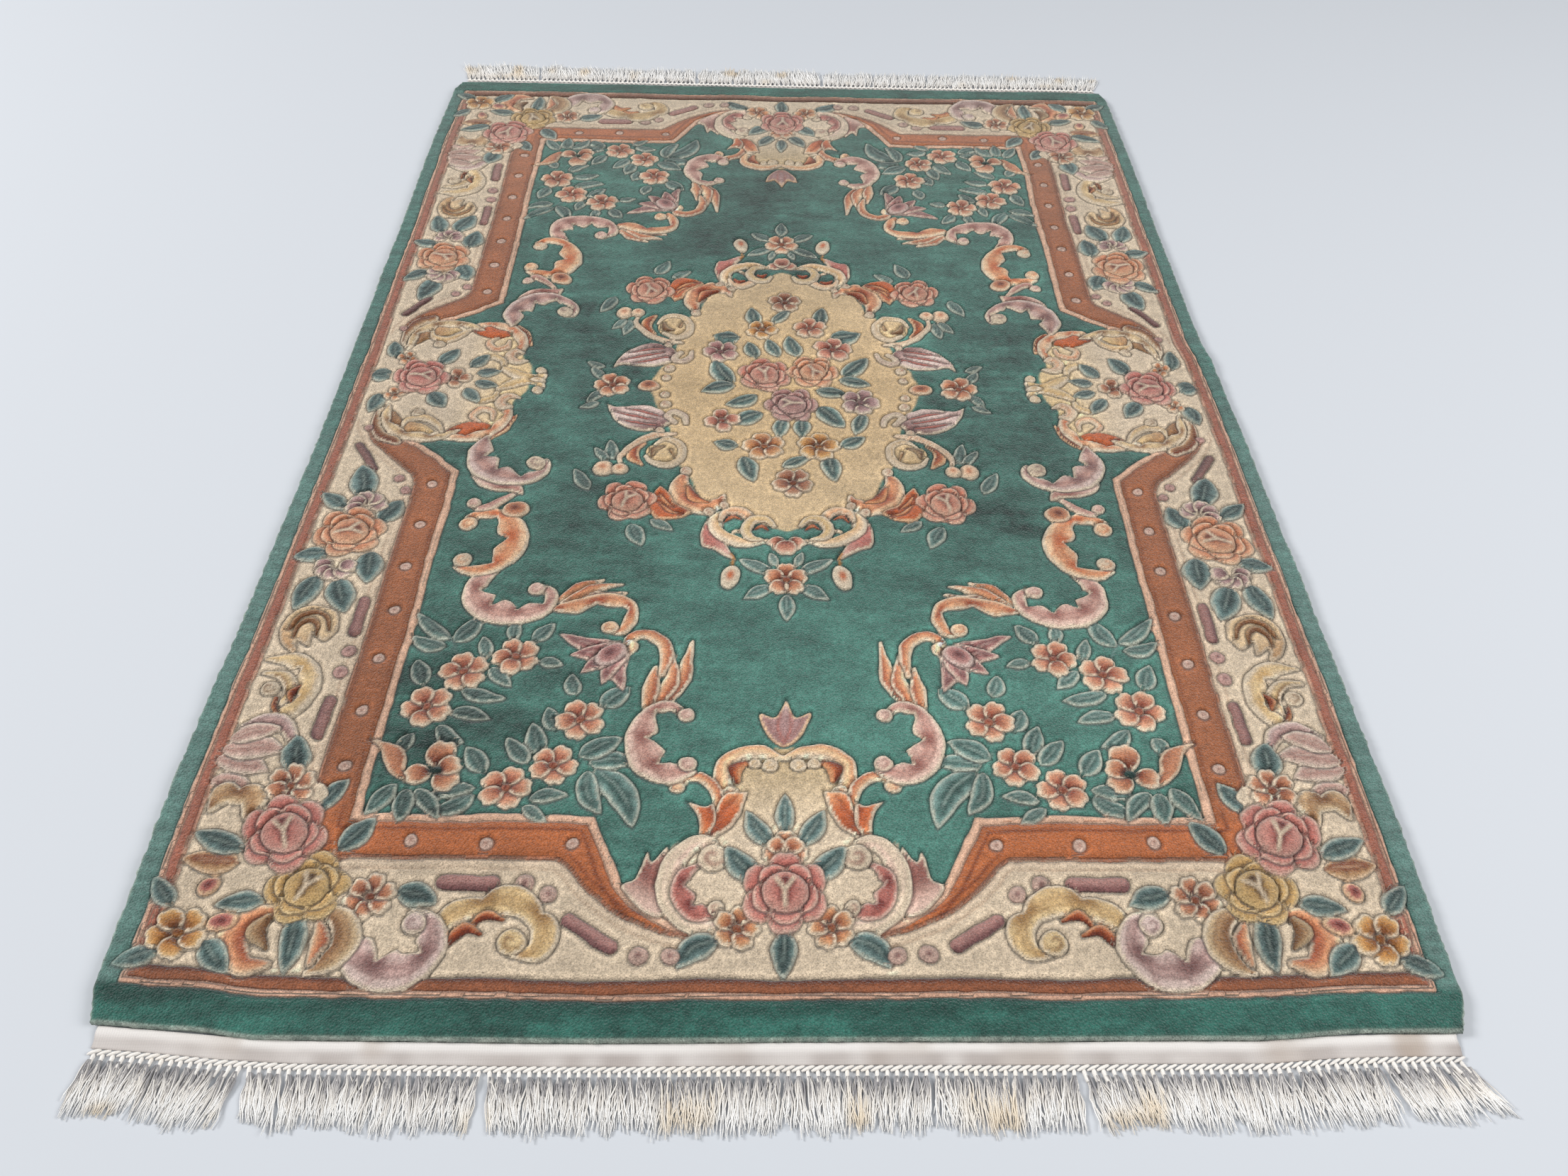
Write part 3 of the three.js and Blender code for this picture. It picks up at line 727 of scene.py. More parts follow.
def draw_side_border(rug):
    """The cream border along the side, from the corner to the side cartouche."""
    mauve = wools((200, 164, 154), (170, 130, 122), (118, 80, 80))
    rug.bar((734, 904), (734, 836), 10, mauve)
    rug.bar((732, 690), (732, 618), 10, mauve)
    rug.bar((842, 222), (800, 286), 8, mauve * 0.7)
    rug.ring(733, 778, 13, mauve)
    rug.ring(731, 732, 13, mauve)
    rug.ring(744, 306, 10, mauve)
    rug.ring(724, 334, 10, mauve)
    rug.ring(836, 168, 9, mauve)
    rug.patch([(760, 690), (766, 656), (790, 640), (822, 636), (848, 654), (858, 690), (846, 726), (820, 744),
               (824, 716), (800, 730), (802, 700), (778, 716)], BROWN_SCROLL[[0, 0, 1]], 60, line=CREAM)
    for points in [[(774, 692), (784, 664), (808, 652), (834, 664), (844, 694)],
                   [(794, 704), (798, 680), (814, 670), (830, 684), (832, 710)]]:
        rug.scroll(points, [2, 5, 6, 5, 2], BROWN_SCROLL[[1, 2, 2]], line=None)
    rug.scroll([(858, 762), (818, 758), (786, 782), (776, 824), (790, 864), (826, 878)],
               [6, 15, 19, 19, 15, 5], PALE_GOLD, lobes=3, side=-1)
    rug.scroll([(856, 790), (824, 794), (804, 818), (808, 850)], [5, 11, 12, 6], RICH_GOLD, side=-1)
    rug.curl(836, 822, 15, RICH_GOLD)
    rug.scroll([(790, 812), (800, 830), (794, 846)], [2, 7, 2], RUST_SCROLL * 0.8, line=None)
    rug.scroll([(822, 838), (818, 858), (806, 874)], [3, 5, 2], RUST_SCROLL * 0.7, line=None)
    rug.scroll([(766, 926), (786, 896), (820, 886), (856, 900)], [8, 16, 18, 8], MAUVE_SCROLL)
    pink = [dye(226, 208, 192), dye(212, 184, 170), dye(176, 136, 124)]
    for base, tip, half in [((872, 1002), (806, 1010), 17), ((876, 962), (790, 980), 22),
                            ((874, 946), (774, 938), 24),
                            ((868, 926), (792, 900), 18)]:
        rug.leaf(base, tip, half, 6, pink)
    rug.leaves([(792, 572, 758, 650, 27, 0), (826, 566, 850, 648, 23, 0), (746, 500, 738, 578, 26, 0),
                (824, 508, 884, 524, 19, 0)])
    for turn in (0, 45, 90, 135, 180):
        rug.petal(802, 540, 40, turn, MAUVE_FLOWER)
    rug.leaves([(752, 420, 724, 360, 24, 0), (824, 392, 876, 352, 18, 0), (796, 358, 822, 278, 27, 0)])
    for turn in (200, 245, 290, 335, 20):
        rug.petal(786, 384, 42, turn, MAUVE_FLOWER)
    rug.rose(800, 452, 66, 200, ORANGE_ROSE)


def draw_corner_posy(rug):
    """The posy where the end and side borders meet: a pink rose, a gold rose and leaves over the band."""
    rug.scroll([(798, 1058), (806, 1028), (840, 1024), (858, 1050)], [12, 20, 20, 8], BROWN_SCROLL, lobes=2,
               side=-1)
    rug.leaf((790, 1140), (872, 1134), 21, wool=[PEACH_SCROLL[0], BROWN_SCROLL[1], RUST_SCROLL[2]])
    rug.leaves([(790, 1118, 868, 1090, 19, 0), (752, 976, 762, 910, 25, 0), (702, 1040, 664, 984, 19, 0),
                (650, 1106, 606, 1052, 20, 0)])
    rug.petal(752, 1004, 66, 160, [CREAM, CREAM, PEACH_FLOWER[1]])
    rug.flower(750, 1000, 42, 90, ORANGE_ROSE * 0.9, petals=6)
    rug.rose(684, 1166, 60, -110, GOLD_ROSE)
    rug.rose(738, 1082, 66, -70, PINK_ROSE)


def draw_side_cartouche(rug):
    """The cartouche at the middle of each side: scrolls towards the field and a rose near the guard."""
    ground = [
        (540, -30), (540, 40), (560, 70), (562, 110), (572, 146), (606, 178), (660, 184), (730, 188),
        (800, 172),
        (856, 150), (856, -60), (740, -90),
    ]  # fmt: skip
    rug.patch(ground, (GOLD_SCROLL[0], CREAM, CREAM), 0, line=None, dome=0, groove=0)
    rug.patch([(606, 194), (580, 188), (556, 164), (546, 118), (566, 132), (588, 150)],
              RUST_SCROLL[[1, 1, 2]], 150, line=PEACH_SCROLL[0])
    rug.patch([(596, 150), (626, 140), (660, 150), (694, 176), (680, 188), (640, 188), (610, 178)],
              RUST_SCROLL[[1, 1, 2]], 20, line=None)
    rug.patch([(706, 170), (732, 150), (770, 140), (800, 112), (806, 140), (780, 172), (736, 188)],
              [GOLD_SCROLL[0], BROWN_SCROLL[1], BROWN_SCROLL[2]], 20, line=None)
    rug.scroll([(600, 74), (572, 96), (570, 142), (606, 182), (656, 190), (700, 186)], [7, 11, 12, 12, 10, 5],
               [CREAM, PEACH_SCROLL[0], RUST_SCROLL[1]], lobes=4, side=-1)
    rug.scroll([(810, 96), (808, 140), (780, 176), (732, 192), (690, 186), (660, 168)],
               [6, 10, 12, 13, 11, 5], [CREAM, GOLD_SCROLL[0], BROWN_SCROLL[2]], lobes=4)
    rug.scroll([(622, 140), (640, 124), (624, 102), (600, 110), (596, 134)], [4, 8, 9, 8, 4],
               [CREAM, PEACH_SCROLL[0], RUST_SCROLL[1]])
    rug.scroll([(690, 172), (706, 148), (734, 132), (764, 140), (770, 160)], [4, 9, 11, 9, 4],
               [CREAM, GOLD_SCROLL[0], BROWN_SCROLL[1]], side=-1)
    rug.curl(748, 116, 12, RICH_GOLD)
    rug.scroll([(552, 64), (572, 58), (590, 74), (580, 96), (562, 92)], [4, 10, 12, 10, 4],
               [CREAM, CREAM, PEACH_SCROLL[1]])
    rug.scroll([(600, 40), (604, 62), (630, 74), (650, 60)], [4, 9, 10, 4], PALE_GOLD)
    rug.scroll([(519, 34), (514, 16), (534, 4), (564, 12), (596, 34)], [8, 11, 14, 14, 8], PALE_GOLD, ball=12)
    rug.scroll([(776, 206), (806, 190), (824, 160), (828, 124), (818, 100)], [13, 13, 11, 7, 2],
               [BROWN_SCROLL[1], BROWN_SCROLL[2], RUST_SCROLL[2]])
    rug.oval(522, 0, 17, 9, 0, [CREAM, CREAM, GOLD_SCROLL[1]])
    rug.leaves([(834, 62, 846, 122, 18, 0), (736, 48, 700, 98, 21, 0), (832, 12, 872, 0, 16, 0),
                (668, 36, 632, 80, 17, 0), (650, 14, 600, 26, 15, 0)])
    rug.flower(808, 62, 24, 20, BROWN_SCROLL * 0.5 + RUST_SCROLL * 0.5, petals=4)
    rug.flower(692, 0, 34, 0, ORANGE_ROSE * 0.85, petals=4)
    rug.rose(766, 0, 60, 180, PINK_ROSE)


def draw_wreath(rug):
    """The wreath of peach flowers and grey leaves in each corner of the field."""
    rug.leaves([(296, 960, 226, 1064, 24, 16), (306, 962, 276, 1040, 18, -10), (306, 950, 232, 946, 18, 6),
                (322, 936, 258, 900, 20, 0), (296, 838, 252, 796, 20, 0), (338, 816, 352, 770, 15, 4),
                (366, 886, 384, 840, 17, 0), (386, 930, 404, 872, 17, 0), (400, 950, 440, 900, 16, 0),
                (462, 968, 496, 918, 17, 0), (470, 1010, 530, 1040, 16, 6), (470, 996, 540, 1012, 14, -4),
                (388, 1018, 330, 1006, 13, 4), (396, 1030, 356, 1056, 12, 0), (560, 1000, 516, 1052, 15, 6),
                (572, 1000, 572, 1060, 17, 0), (590, 992, 628, 1050, 16, 0), (584, 896, 610, 940, 14, 0),
                (550, 880, 500, 914, 15, -6), (536, 852, 470, 866, 14, 4), (528, 808, 452, 824, 15, -4),
                (490, 760, 448, 800, 14, 0), (590, 800, 612, 744, 17, 0), (500, 738, 514, 690, 13, 0),
                (430, 700, 396, 660, 16, 0), (460, 700, 470, 652, 13, 0), (412, 742, 370, 752, 12, 0),
                (562, 706, 530, 642, 18, -6), (568, 700, 636, 640, 14, 6), (572, 716, 634, 694, 15, 8)],
                GREY_LEAF)
    rug.stem([(548, 736), (572, 694), (620, 650)], 1.8)
    for x, y, size, turn in [
        (360, 952, 40, 100), (427, 996, 42, 110), (452, 734, 42, 150), (531, 768, 43, 70), (575, 842, 44, 10),
        (328, 864, 43, 80),
    ]:  # fmt: skip
        rug.flower(x, y, size, turn, PEACH_FLOWER)
    rug.patch([(582, 966), (586, 936), (604, 918), (650, 906), (630, 924), (616, 956), (590, 982),
               (560, 990)], ORANGE_ROSE, 200, line=PEACH_FLOWER[0])
    for turn, size in ((20, 46), (140, 50), (-100, 58), (-160, 44)):
        rug.petal(538, 964, size, turn, ORANGE_ROSE * 0.95)
    rug.oval(536, 964, 10, 7, 0, [GREY_LEAF[2]] * 3, None)


def draw_field_scrolls(rug):
    """The broken frame of acanthus scrolls between the wreaths and the medallion."""
    for points in [[(214, 846), (176, 790), (160, 696)], [(220, 846), (190, 790), (190, 724)],
                   [(224, 848), (220, 806), (216, 752)]]:
        rug.scroll(points, [6, 15, 3], PEACH_SCROLL, side=-1)
    rug.scroll([(262, 712), (262, 692), (238, 682), (210, 698), (200, 730), (206, 770)],
               [9, 11, 12, 12, 10, 5], PEACH_SCROLL, ball=15)
    rug.scroll([(160, 852), (188, 832), (218, 852), (230, 896), (216, 944), (184, 968), (150, 960)],
               [8, 10, 16, 24, 26, 20, 12], PINK_SCROLL, lobes=4, ball=14)
    rug.curl(152, 946, 15, PINK_SCROLL)
    for points in [[(400, 606), (362, 572), (326, 556)], [(392, 612), (340, 578), (292, 566)],
                   [(384, 616), (330, 596), (282, 586)]]:
        rug.scroll(points, [5, 13, 3], PEACH_SCROLL[[0, 1, 2]] * 0.95)
    rug.scroll([(300, 668), (280, 676), (264, 650), (272, 616), (306, 602), (350, 612), (404, 628)],
               [8, 10, 12, 13, 15, 16, 8], PEACH_SCROLL, lobes=3, ball=15)
    rug.scroll([(518, 540), (546, 566), (542, 608), (512, 636), (466, 642), (426, 628), (410, 594),
                (430, 574)], [10, 17, 24, 26, 24, 18, 12, 8], PINK_SCROLL, lobes=5)
    rug.curl(440, 580, 16, PINK_SCROLL)
    rug.scroll([(590, 420), (590, 402), (556, 390), (518, 408), (498, 454), (504, 500), (528, 530),
                (562, 540), (586, 526)], [9, 11, 16, 22, 26, 24, 17, 12, 9],
                [PEACH_SCROLL[0], PEACH_SCROLL[1], RUST_SCROLL[1]], lobes=4, side=-1, ball=17)
    rug.curl(580, 511, 17, PALE_PEACH)
    rug.oval(510, 380, 25, 22, 10, ORANGE_ROSE * 0.9, PEACH_FLOWER[0])
    rug.scroll([(590, 364), (574, 378), (548, 364), (520, 338)], [8, 10, 10, 5], PINK_SCROLL, ball=13)
    rug.patch([(606, 256), (590, 268), (560, 290), (516, 306), (502, 340), (524, 334), (560, 332), (590, 318),
               (606, 292)], PINK_SCROLL[[1, 2, 0]], 40)
    rug.scroll([(494, 262), (474, 244), (468, 268), (488, 292), (520, 300), (558, 292), (590, 266),
                (604, 230), (596, 192)], [8, 9, 11, 14, 20, 25, 26, 22, 10],
                [MAUVE_SCROLL[0], PINK_SCROLL[1], MAUVE_SCROLL[2]], lobes=5, side=-1)
    rug.curl(489, 252, 19, [CREAM, MAUVE_SCROLL[0], MAUVE_SCROLL[2]])
    lily = MAUVE_FLOWER * 0.6 + PINK_ROSE * 0.4
    for tip, half, bend in [((388, 682), 16, 12), ((262, 806), 16, -12), ((362, 730), 18, 4),
                            ((300, 792), 18, -4), ((340, 768), 18, 0)]:
        rug.leaf((268, 708), tip, half, bend, lily)
    rug.oval(292, 728, 30, 20, 45, lily, MAUVE_SCROLL[0])


def draw_medallion(rug):
    """The central medallion: its sand ground and the scrolls, roses and buds round its rim."""
    rim = [
        (-40, -40), (268, -40), (272, 40), (246, 96), (232, 140), (212, 240), (186, 280), (160, 350),
        (110, 372), (60, 400),
        (0, 430), (-40, 430),
    ]  # fmt: skip
    rug.patch(rim, (dye(210, 181, 137), dye(212, 185, 145), dye(215, 190, 153)), 60, line=None, dome=0,
              groove=0.3)
    rug.leaves([(385, 20, 412, 60, 12, 0), (392, -6, 426, -40, 12, 0), (340, 236, 350, 176, 13, 0),
                (350, 240, 380, 198, 11, 0), (380, 322, 412, 262, 15, 0), (292, 412, 266, 470, 17, 0),
                (256, 398, 212, 428, 12, 0), (24, 536, 86, 500, 14, 0), (26, 568, 76, 598, 15, 0),
                (0, 590, 0, 650, 15, 0), (384, 60, 424, 78, 10, 0), (18, 520, 30, 484, 9, 0)], GREY_LEAF)
    rug.patch([(368, 60), (346, 72), (310, 66), (276, 66), (244, 86), (234, 118), (256, 140), (296, 146),
               (336, 124), (358, 92)], MAUVE_SCROLL[[1, 0, 2]], 120)
    for points in [[(350, 86), (310, 100), (262, 112)], [(336, 112), (300, 122), (262, 128)],
                   [(326, 78), (290, 86), (252, 100)]]:
        rug.scroll(points, [1, 4, 2], [PINK_ROSE[1]] * 3, line=None)
    rug.scroll([(224, 116), (240, 96), (226, 84), (206, 96), (200, 120)], [6, 8, 8, 8, 5],
               [CREAM, CREAM, MAUVE_SCROLL[1]])
    rug.scroll([(282, 184), (300, 202), (302, 226), (284, 250)], [4, 11, 13, 4], RUST_SCROLL * 0.85,
               line=PEACH_SCROLL[0])
    rug.oval(240, 210, 38, 36, 0, [dye(215, 189, 149)] * 3, None)
    rug.scroll([(222, 152), (262, 158), (300, 184), (326, 222), (324, 252)], [5, 9, 8, 7, 4],
               [CREAM, CREAM, PEACH_SCROLL[1]])
    rug.scroll([(262, 186), (236, 170), (210, 186), (206, 220), (228, 248), (262, 244), (278, 222)],
               [4, 8, 9, 9, 9, 8, 4], [CREAM, CREAM, GOLD_SCROLL[1]], side=-1)
    rug.scroll([(264, 222), (260, 202), (242, 194)], [3, 8, 3], BROWN_SCROLL * 0.7, line=None)
    rug.scroll([(222, 226), (228, 206)], [2, 4], BROWN_SCROLL, line=None)
    rug.scroll([(192, 268), (206, 304), (196, 342), (160, 368), (128, 352), (122, 334)],
               [8, 18, 24, 22, 14, 6], PEACH_SCROLL, lobes=2)
    rug.scroll([(190, 310), (176, 340), (150, 352)], [4, 12, 4], RUST_SCROLL * 0.95, line=None)
    rug.patch([(244, 306), (226, 326), (214, 352), (182, 378), (206, 396), (244, 396), (262, 366),
               (256, 330)], RUST_SCROLL[[1, 1, 2]], 200, line=PEACH_SCROLL[0])
    for points in [[(198, 384), (222, 376), (244, 352)], [(214, 366), (232, 352), (244, 330)]]:
        rug.scroll(points, [1, 4, 1], RUST_SCROLL[[0, 0, 1]], line=None)
    rug.oval(357, 261, 22, 20, 90, [CREAM, ORANGE_ROSE[0], ORANGE_ROSE[1]], CREAM)
    rug.oval(325, 262, 16, 16, 90, [CREAM, ORANGE_ROSE[0], ORANGE_ROSE[1]], CREAM)
    rug.patch([(150, 392), (160, 430), (156, 466), (132, 478), (92, 502), (108, 468), (124, 440), (122, 404)],
              PINK_ROSE[[0, 1, 1]], -60)
    rug.scroll([(112, 372), (134, 392), (134, 424), (108, 448), (72, 460), (36, 452)], [6, 12, 13, 13, 12, 6],
               [IVORY, PEACH_SCROLL[0], GOLD_SCROLL[1]])
    rug.scroll([(116, 404), (104, 390), (88, 396)], [2, 5, 2], PEACH_SCROLL[[1, 2, 2]], line=None)
    rug.scroll([(126, 400), (116, 378), (90, 374), (70, 394), (76, 420), (100, 430)], [5, 9, 11, 11, 9, 4],
               PALE_PEACH, side=-1)
    rug.scroll([(36, 424), (48, 414), (60, 422)], [2, 5, 2], PEACH_SCROLL[[1, 2, 2]], side=-1, line=None)
    rug.scroll([(26, 414), (40, 396), (66, 400), (78, 424), (66, 446), (44, 450)], [5, 9, 11, 11, 9, 4],
               PALE_GOLD)
    for turn, size in ((38, 40), (142, 40), (90, 48)):
        rug.petal(0, 446, size, turn, PINK_ROSE * 0.45 + ORANGE_ROSE * 0.55)
    rug.oval(286, 0, 24, 18, 0, ORANGE_ROSE, PEACH_FLOWER[0])
    for x, y, radius in [(196, 264, 12), (148, 378, 10), (252, 142, 9), (246, 60, 12), (250, 28, 10),
                         (120, 360, 9)]:
        rug.curl(x, y, radius, [CREAM, GOLD_SCROLL[0], PEACH_SCROLL[2]])
    rug.flower(364, 0, 42, 0, ORANGE_ROSE)
    rug.oval(100, 544, 30, 17, 80, [IVORY, CREAM, RUST_SCROLL[1]], IVORY)
    rug.stem([(98, 510), (96, 498), (100, 484)], 2.4, AMBER_FLOWER)
    rug.rose(304, 350, 56, -110, PINK_ROSE * 0.5 + ORANGE_ROSE * 0.5)
    rug.flower(0, 552, 42, -90, ORANGE_ROSE)


def draw_quarter(rug):
    """One quarter of the design, from the middle of the rug at (0, 0) out past its corner."""
    draw_ground(rug)
    draw_side_cartouche(rug)
    draw_end_cartouche(rug)
    draw_guard(rug)
    draw_end_border(rug)
    draw_side_border(rug)
    draw_corner_posy(rug)
    draw_wreath(rug)
    draw_field_scrolls(rug)
    draw_medallion(rug)


def draw_centre(rug):
    """The bouquet in the medallion, which isn't mirrored. y runs to the back of the rug here."""
    rug.leaves([(-62, 222, -74, 292, 19, 0), (80, 222, 90, 292, 18, 0), (-24, 232, 16, 288, 15, 0),
                (-96, 176, -152, 182, 26, 6), (104, 176, 170, 192, 26, -6), (-60, 100, -76, 160, 18, 0),
                (-12, 104, -34, 172, 17, 0), (30, 104, 12, 180, 20, 0), (-108, 10, -150, 100, 24, 8),
                (-104, 4, -176, -20, 20, -4), (120, 40, 178, 104, 22, 0), (112, 30, 180, 10, 18, 0),
                (-60, -28, -124, -60, 18, 6), (-50, -84, -112, -116, 22, 0), (-8, -100, -20, -160, 17, 0),
                (30, -100, 30, -160, 19, 0), (66, -62, 120, -130, 24, 0), (60, -8, 130, -22, 18, 0),
                (160, -84, 140, -150, 17, 0), (-96, -190, -144, -174, 18, 0), (108, -190, 160, -158, 18, 0),
                (-84, -220, -64, -296, 20, 0), (-10, -252, 46, -218, 15, 0), (80, -216, 94, -292, 20, 0)],
                POSY_LEAF)
    rug.flower(-46, 206, 38, 60, AMBER_FLOWER)
    rug.flower(60, 212, 40, 20, PEACH_FLOWER)
    rug.flower(-136, 124, 42, 40, MAUVE_FLOWER * 0.6 + PINK_ROSE * 0.4)
    rug.flower(106, 134, 44, 10, PINK_ROSE * 0.5 + ORANGE_ROSE * 0.5)
    rug.flower(154, -46, 44, 70, MAUVE_FLOWER)
    rug.flower(-128, -108, 38, 100, ORANGE_ROSE * 0.5 + PINK_ROSE * 0.5, petals=4)
    rug.flower(-46, -188, 44, 30, ORANGE_ROSE * 0.5 + AMBER_FLOWER * 0.5)
    rug.flower(62, -188, 46, 80, AMBER_FLOWER)
    rug.flower(4, 312, 40, 90, ORANGE_ROSE * 0.7)
    rug.flower(10, -296, 42, -90, ORANGE_ROSE * 0.75)
    rug.rose(-44, 42, 56, 100, PINK_ROSE * 0.7 + ORANGE_ROSE * 0.3)
    rug.rose(58, 54, 54, -60, ORANGE_ROSE)
    rug.rose(10, -56, 56, 180, MAUVE_ROSE)


STEP = 1.29  # mm between the points that the design is drawn on
POSY_X, POSY_Y = 230, 385  # half the window that the posy is drawn in


def wander(x, y, size, seed):
    """Smooth uneven waves about this many mm long, from -1 to 1: random knots, eased between."""
    lattice = np.random.default_rng(seed).uniform(-1, 1, (512, 512))
    i, j = np.floor(x / size).astype(int), np.floor(y / size).astype(int)
    u, v = ease(0, 1, x / size - i), ease(0, 1, y / size - j)
    near, far = lattice[j % 512, i % 512], lattice[j % 512, (i + 1) % 512]
    near_up, far_up = lattice[(j + 1) % 512, i % 512], lattice[(j + 1) % 512, (i + 1) % 512]
    return (near * (1 - u) + far * u) * (1 - v) + (near_up * (1 - u) + far_up * u) * v


def knotted(x, y):
    """The dye inside and outside the nearest edge, the carved rise and that edge's distance, at each knot.

    The drawing of one quarter is mirrored, and each quarter strays from it in its own way by a few mm,
    as handwork does. The posy in the middle has its own drawing.
    """
    at_x = x + 2.6 * wander(x, y, 130, 3) + 1.5 * wander(x, y, 19, 5)
    at_y = y + 2.6 * wander(x, y, 130, 4) + 1.5 * wander(x, y, 19, 6)
    shift = np.where(x < 0, 14, 6 + 8 * ease(0, 300, y)) * ease(440, 560, np.abs(x))
    at_y = at_y - shift * ease(900, 500, y) * ease(-400, -120, y)
    found = [np.empty(x.shape + (3,)), np.empty(x.shape + (3,)), np.empty(x.shape), np.empty(x.shape)]
    middle = (np.abs(at_x) < POSY_X - 5) & (np.abs(at_y) < POSY_Y - 5)
    for drawing, where in ((quarter, ~middle), (posy, middle)):
        place = (at_x[where], at_y[where]) if drawing is posy else np.abs((at_x[where], at_y[where]))
        for whole, part in zip(found, drawing.both_sides(*place)):
            whole[where] = part
    return found


# Painted sheen and shade where the brushed pile leans another way, lighter or darker: x, y, radius, change.
NAP_PATCHES = [
    (150, -900, 250, 0.5), (-60, -1020, 90, 0.4), (560, -820, 130, 0.4), (-610, -830, 130, -0.45),
    (-75, -420, 90, 0.45), (-375, -400, 80, -0.35), (400, -400, 80, -0.35), (-520, 180, 110, -0.4),
    (-330, 60, 90, -0.3), (80, 400, 90, -0.45), (-150, 600, 130, -0.3), (-60, 820, 110, -0.4),
    (240, 190, 70, 0.35), (530, 180, 80, -0.3), (420, -120, 110, -0.25), (-650, -200, 90, -0.25),
    (-660, 980, 90, 0.2),
]  # fmt: skip


def nap_light(x, y):
    """The brushed pile's painted sheen and shade, and its uneven dye: the patches above, small ones, streaks.
    """
    light = sum(change * np.exp(-((x - px) ** 2 + (y - py) ** 2) / (2 * r * r)) for px, py, r,
                change in NAP_PATCHES)
    streaks = wander(x / 1.3 + 0.25 * y, y, 46, 12) + 0.7 * wander(x / 4, y, 13, 13) + 0.7 * wander(x / 1.4,
                                                                                                    y, 7, 14)
    tufts_up = ease(0.15, 0.85, wander(x / 1.5, y, 27, 15)) + 0.6 * ease(0.3, 0.9, wander(x / 1.2, y, 11, 16))
    return light + 0.26 * streaks + 0.28 * tufts_up - 0.08


def pile_lines(end, count):
    """Places of the pile's grid lines from -end to end: close over its rounded shoulder, then even."""
    shoulder = np.array([0, 0.8, 2.0, 4.0, 7.0])
    even = np.linspace(-end + 10.8, end - 10.8, count)
    return np.concatenate([-end + shoulder, even, (end - shoulder)[::-1]])


quarter = Design(np.arange(-30, 945, STEP), np.arange(-30, 1402, STEP), FIELD_GREEN)
draw_quarter(quarter)
posy = Design(np.arange(-POSY_X, POSY_X, STEP), np.arange(-POSY_Y, POSY_Y, STEP), SAND)
mirrored = quarter.at(*np.abs(np.meshgrid(posy.x, posy.y)))
posy.dye[:], posy.rise[:] = mirrored[..., :3], mirrored[..., 3]
posy.cut[:] = quarter.edge(*np.abs(np.meshgrid(posy.x, posy.y)))[0]
draw_centre(posy)

HALF_X, SHOULDER, SHOULDER_DROP = 930.0, 8.0, 5.5
CARVING, CARVING_LIMITS = 2.7, (-2.0, 3.0)  # mm for each 1 of rise, and the rise it keeps within
lines_x, lines_y = pile_lines(HALF_X, 477), pile_lines(CORNER_Y, 713)
pattern_x, pattern_y = np.meshgrid(lines_x, lines_y)
inner_dye, outer_dye, rise, cut = knotted(pattern_x, pattern_y)
pile_x, pile_y = plan((pattern_x / HALF_X + 1) / 2, (pattern_y / CORNER_Y + 1) / 2, 0)
edge = np.minimum(HALF_X - np.abs(pattern_x), CORNER_Y - np.abs(pattern_y))
tuft = wander(pile_x, pile_y, 7, 21) + 0.6 * wander(pile_x, pile_y, 16, 22)
level = PILE_THICKNESS - SHOULDER_DROP * (1 - np.sqrt(1 - np.clip(1 - edge / SHOULDER, 0, 1) ** 2))
waves = 0.9 * wander(pile_x, pile_y, 150, 23) + 0.45 * wander(pile_x, pile_y, 42, 24) + 0.4 * tuft
carving = CARVING * np.clip(rise, *CARVING_LIMITS) * ease(0, 12, edge)
pile_z = level + fold_height(pile_x, pile_y) + waves + carving
fray = 2.0 * tuft * np.exp(-edge / 5)
pile_x = pile_x + np.where(HALF_X - np.abs(pattern_x) < 12, np.sign(pattern_x) * fray, 0)
pile_y = pile_y + np.where(CORNER_Y - np.abs(pattern_y) < 12, np.sign(pattern_y) * 0.5 * fray, 0)

wool = np.stack([inner_dye, outer_dye])
greenness = ease(0.0, 0.35, (wool[..., 1] - wool[..., 0]) / wool[..., 1])
# the nap's painted sheen and shade, mostly on the greens
light = nap_light(pile_x, pile_y) * (0.32 + 0.68 * greenness)
# painted shade: the power deepens the dark wools as if the deep pile shaded itself; then the nap's painted
# light
wool = 0.98 * wool**1.18 * (1 + light)[..., None]
# painted sheen: towards the back, seen at a grazing angle, the wool is paled, the greens less
wool = mix(wool, dye(176, 168, 152), 0.14 * ease(300, 1300, pattern_y) * (1 - 0.6 * greenness))
end_strip = ease(GUARD_Y + 20, GUARD_Y + 34, np.abs(pattern_y))
# painted light: the green strip along the front end is made a little lighter
wool = wool * (1 + np.where(pattern_y < 0, 0.06, 0.0) * end_strip)[..., None]
# painted shadow on the front end's green just outside the guard, fading out to the right
painted_guard_shadow = ease(-GUARD_Y - 62, -GUARD_Y - 36, pattern_y) * ease(-GUARD_Y - 26, -GUARD_Y - 31, pattern_y)
wool = wool * (1 - 0.42 * painted_guard_shadow * ease(520, 250, pattern_x))[..., None]
side_strip = ease(GUARD_X + 22, GUARD_X + 36, np.abs(pattern_x)) * (1 - end_strip)
wool = mix(wool, dye(118, 148, 140), (0.3 + 0.25 * ease(100, -400, pattern_y)) * side_strip)
streaks = wander(pile_x / 5, pile_y, 8, 17) + 0.6 * wander(pile_x / 3, pile_y, 4, 18)
wool = wool * (1 + 0.2 * streaks * np.maximum(side_strip, 0.5 * end_strip))[..., None]
# a pale fuzz along the pile's rounded edge: partly pale fibre tips, partly painted highlight on the shoulder
wool = mix(wool, dye(206, 212, 198), np.clip(0.6 * ease(5, 0.5, edge) * (0.8 + 0.3 * tuft), 0, 1))
wool = np.clip(wool, 0.01, 0.95)
# the cut travels in the first colour's alpha, 0.5 at the edge, and its size in the second's
carry = np.stack([0.5 + cut / 20, np.abs(cut) / 20])
wool = np.concatenate([wool, carry[..., None]], -1)

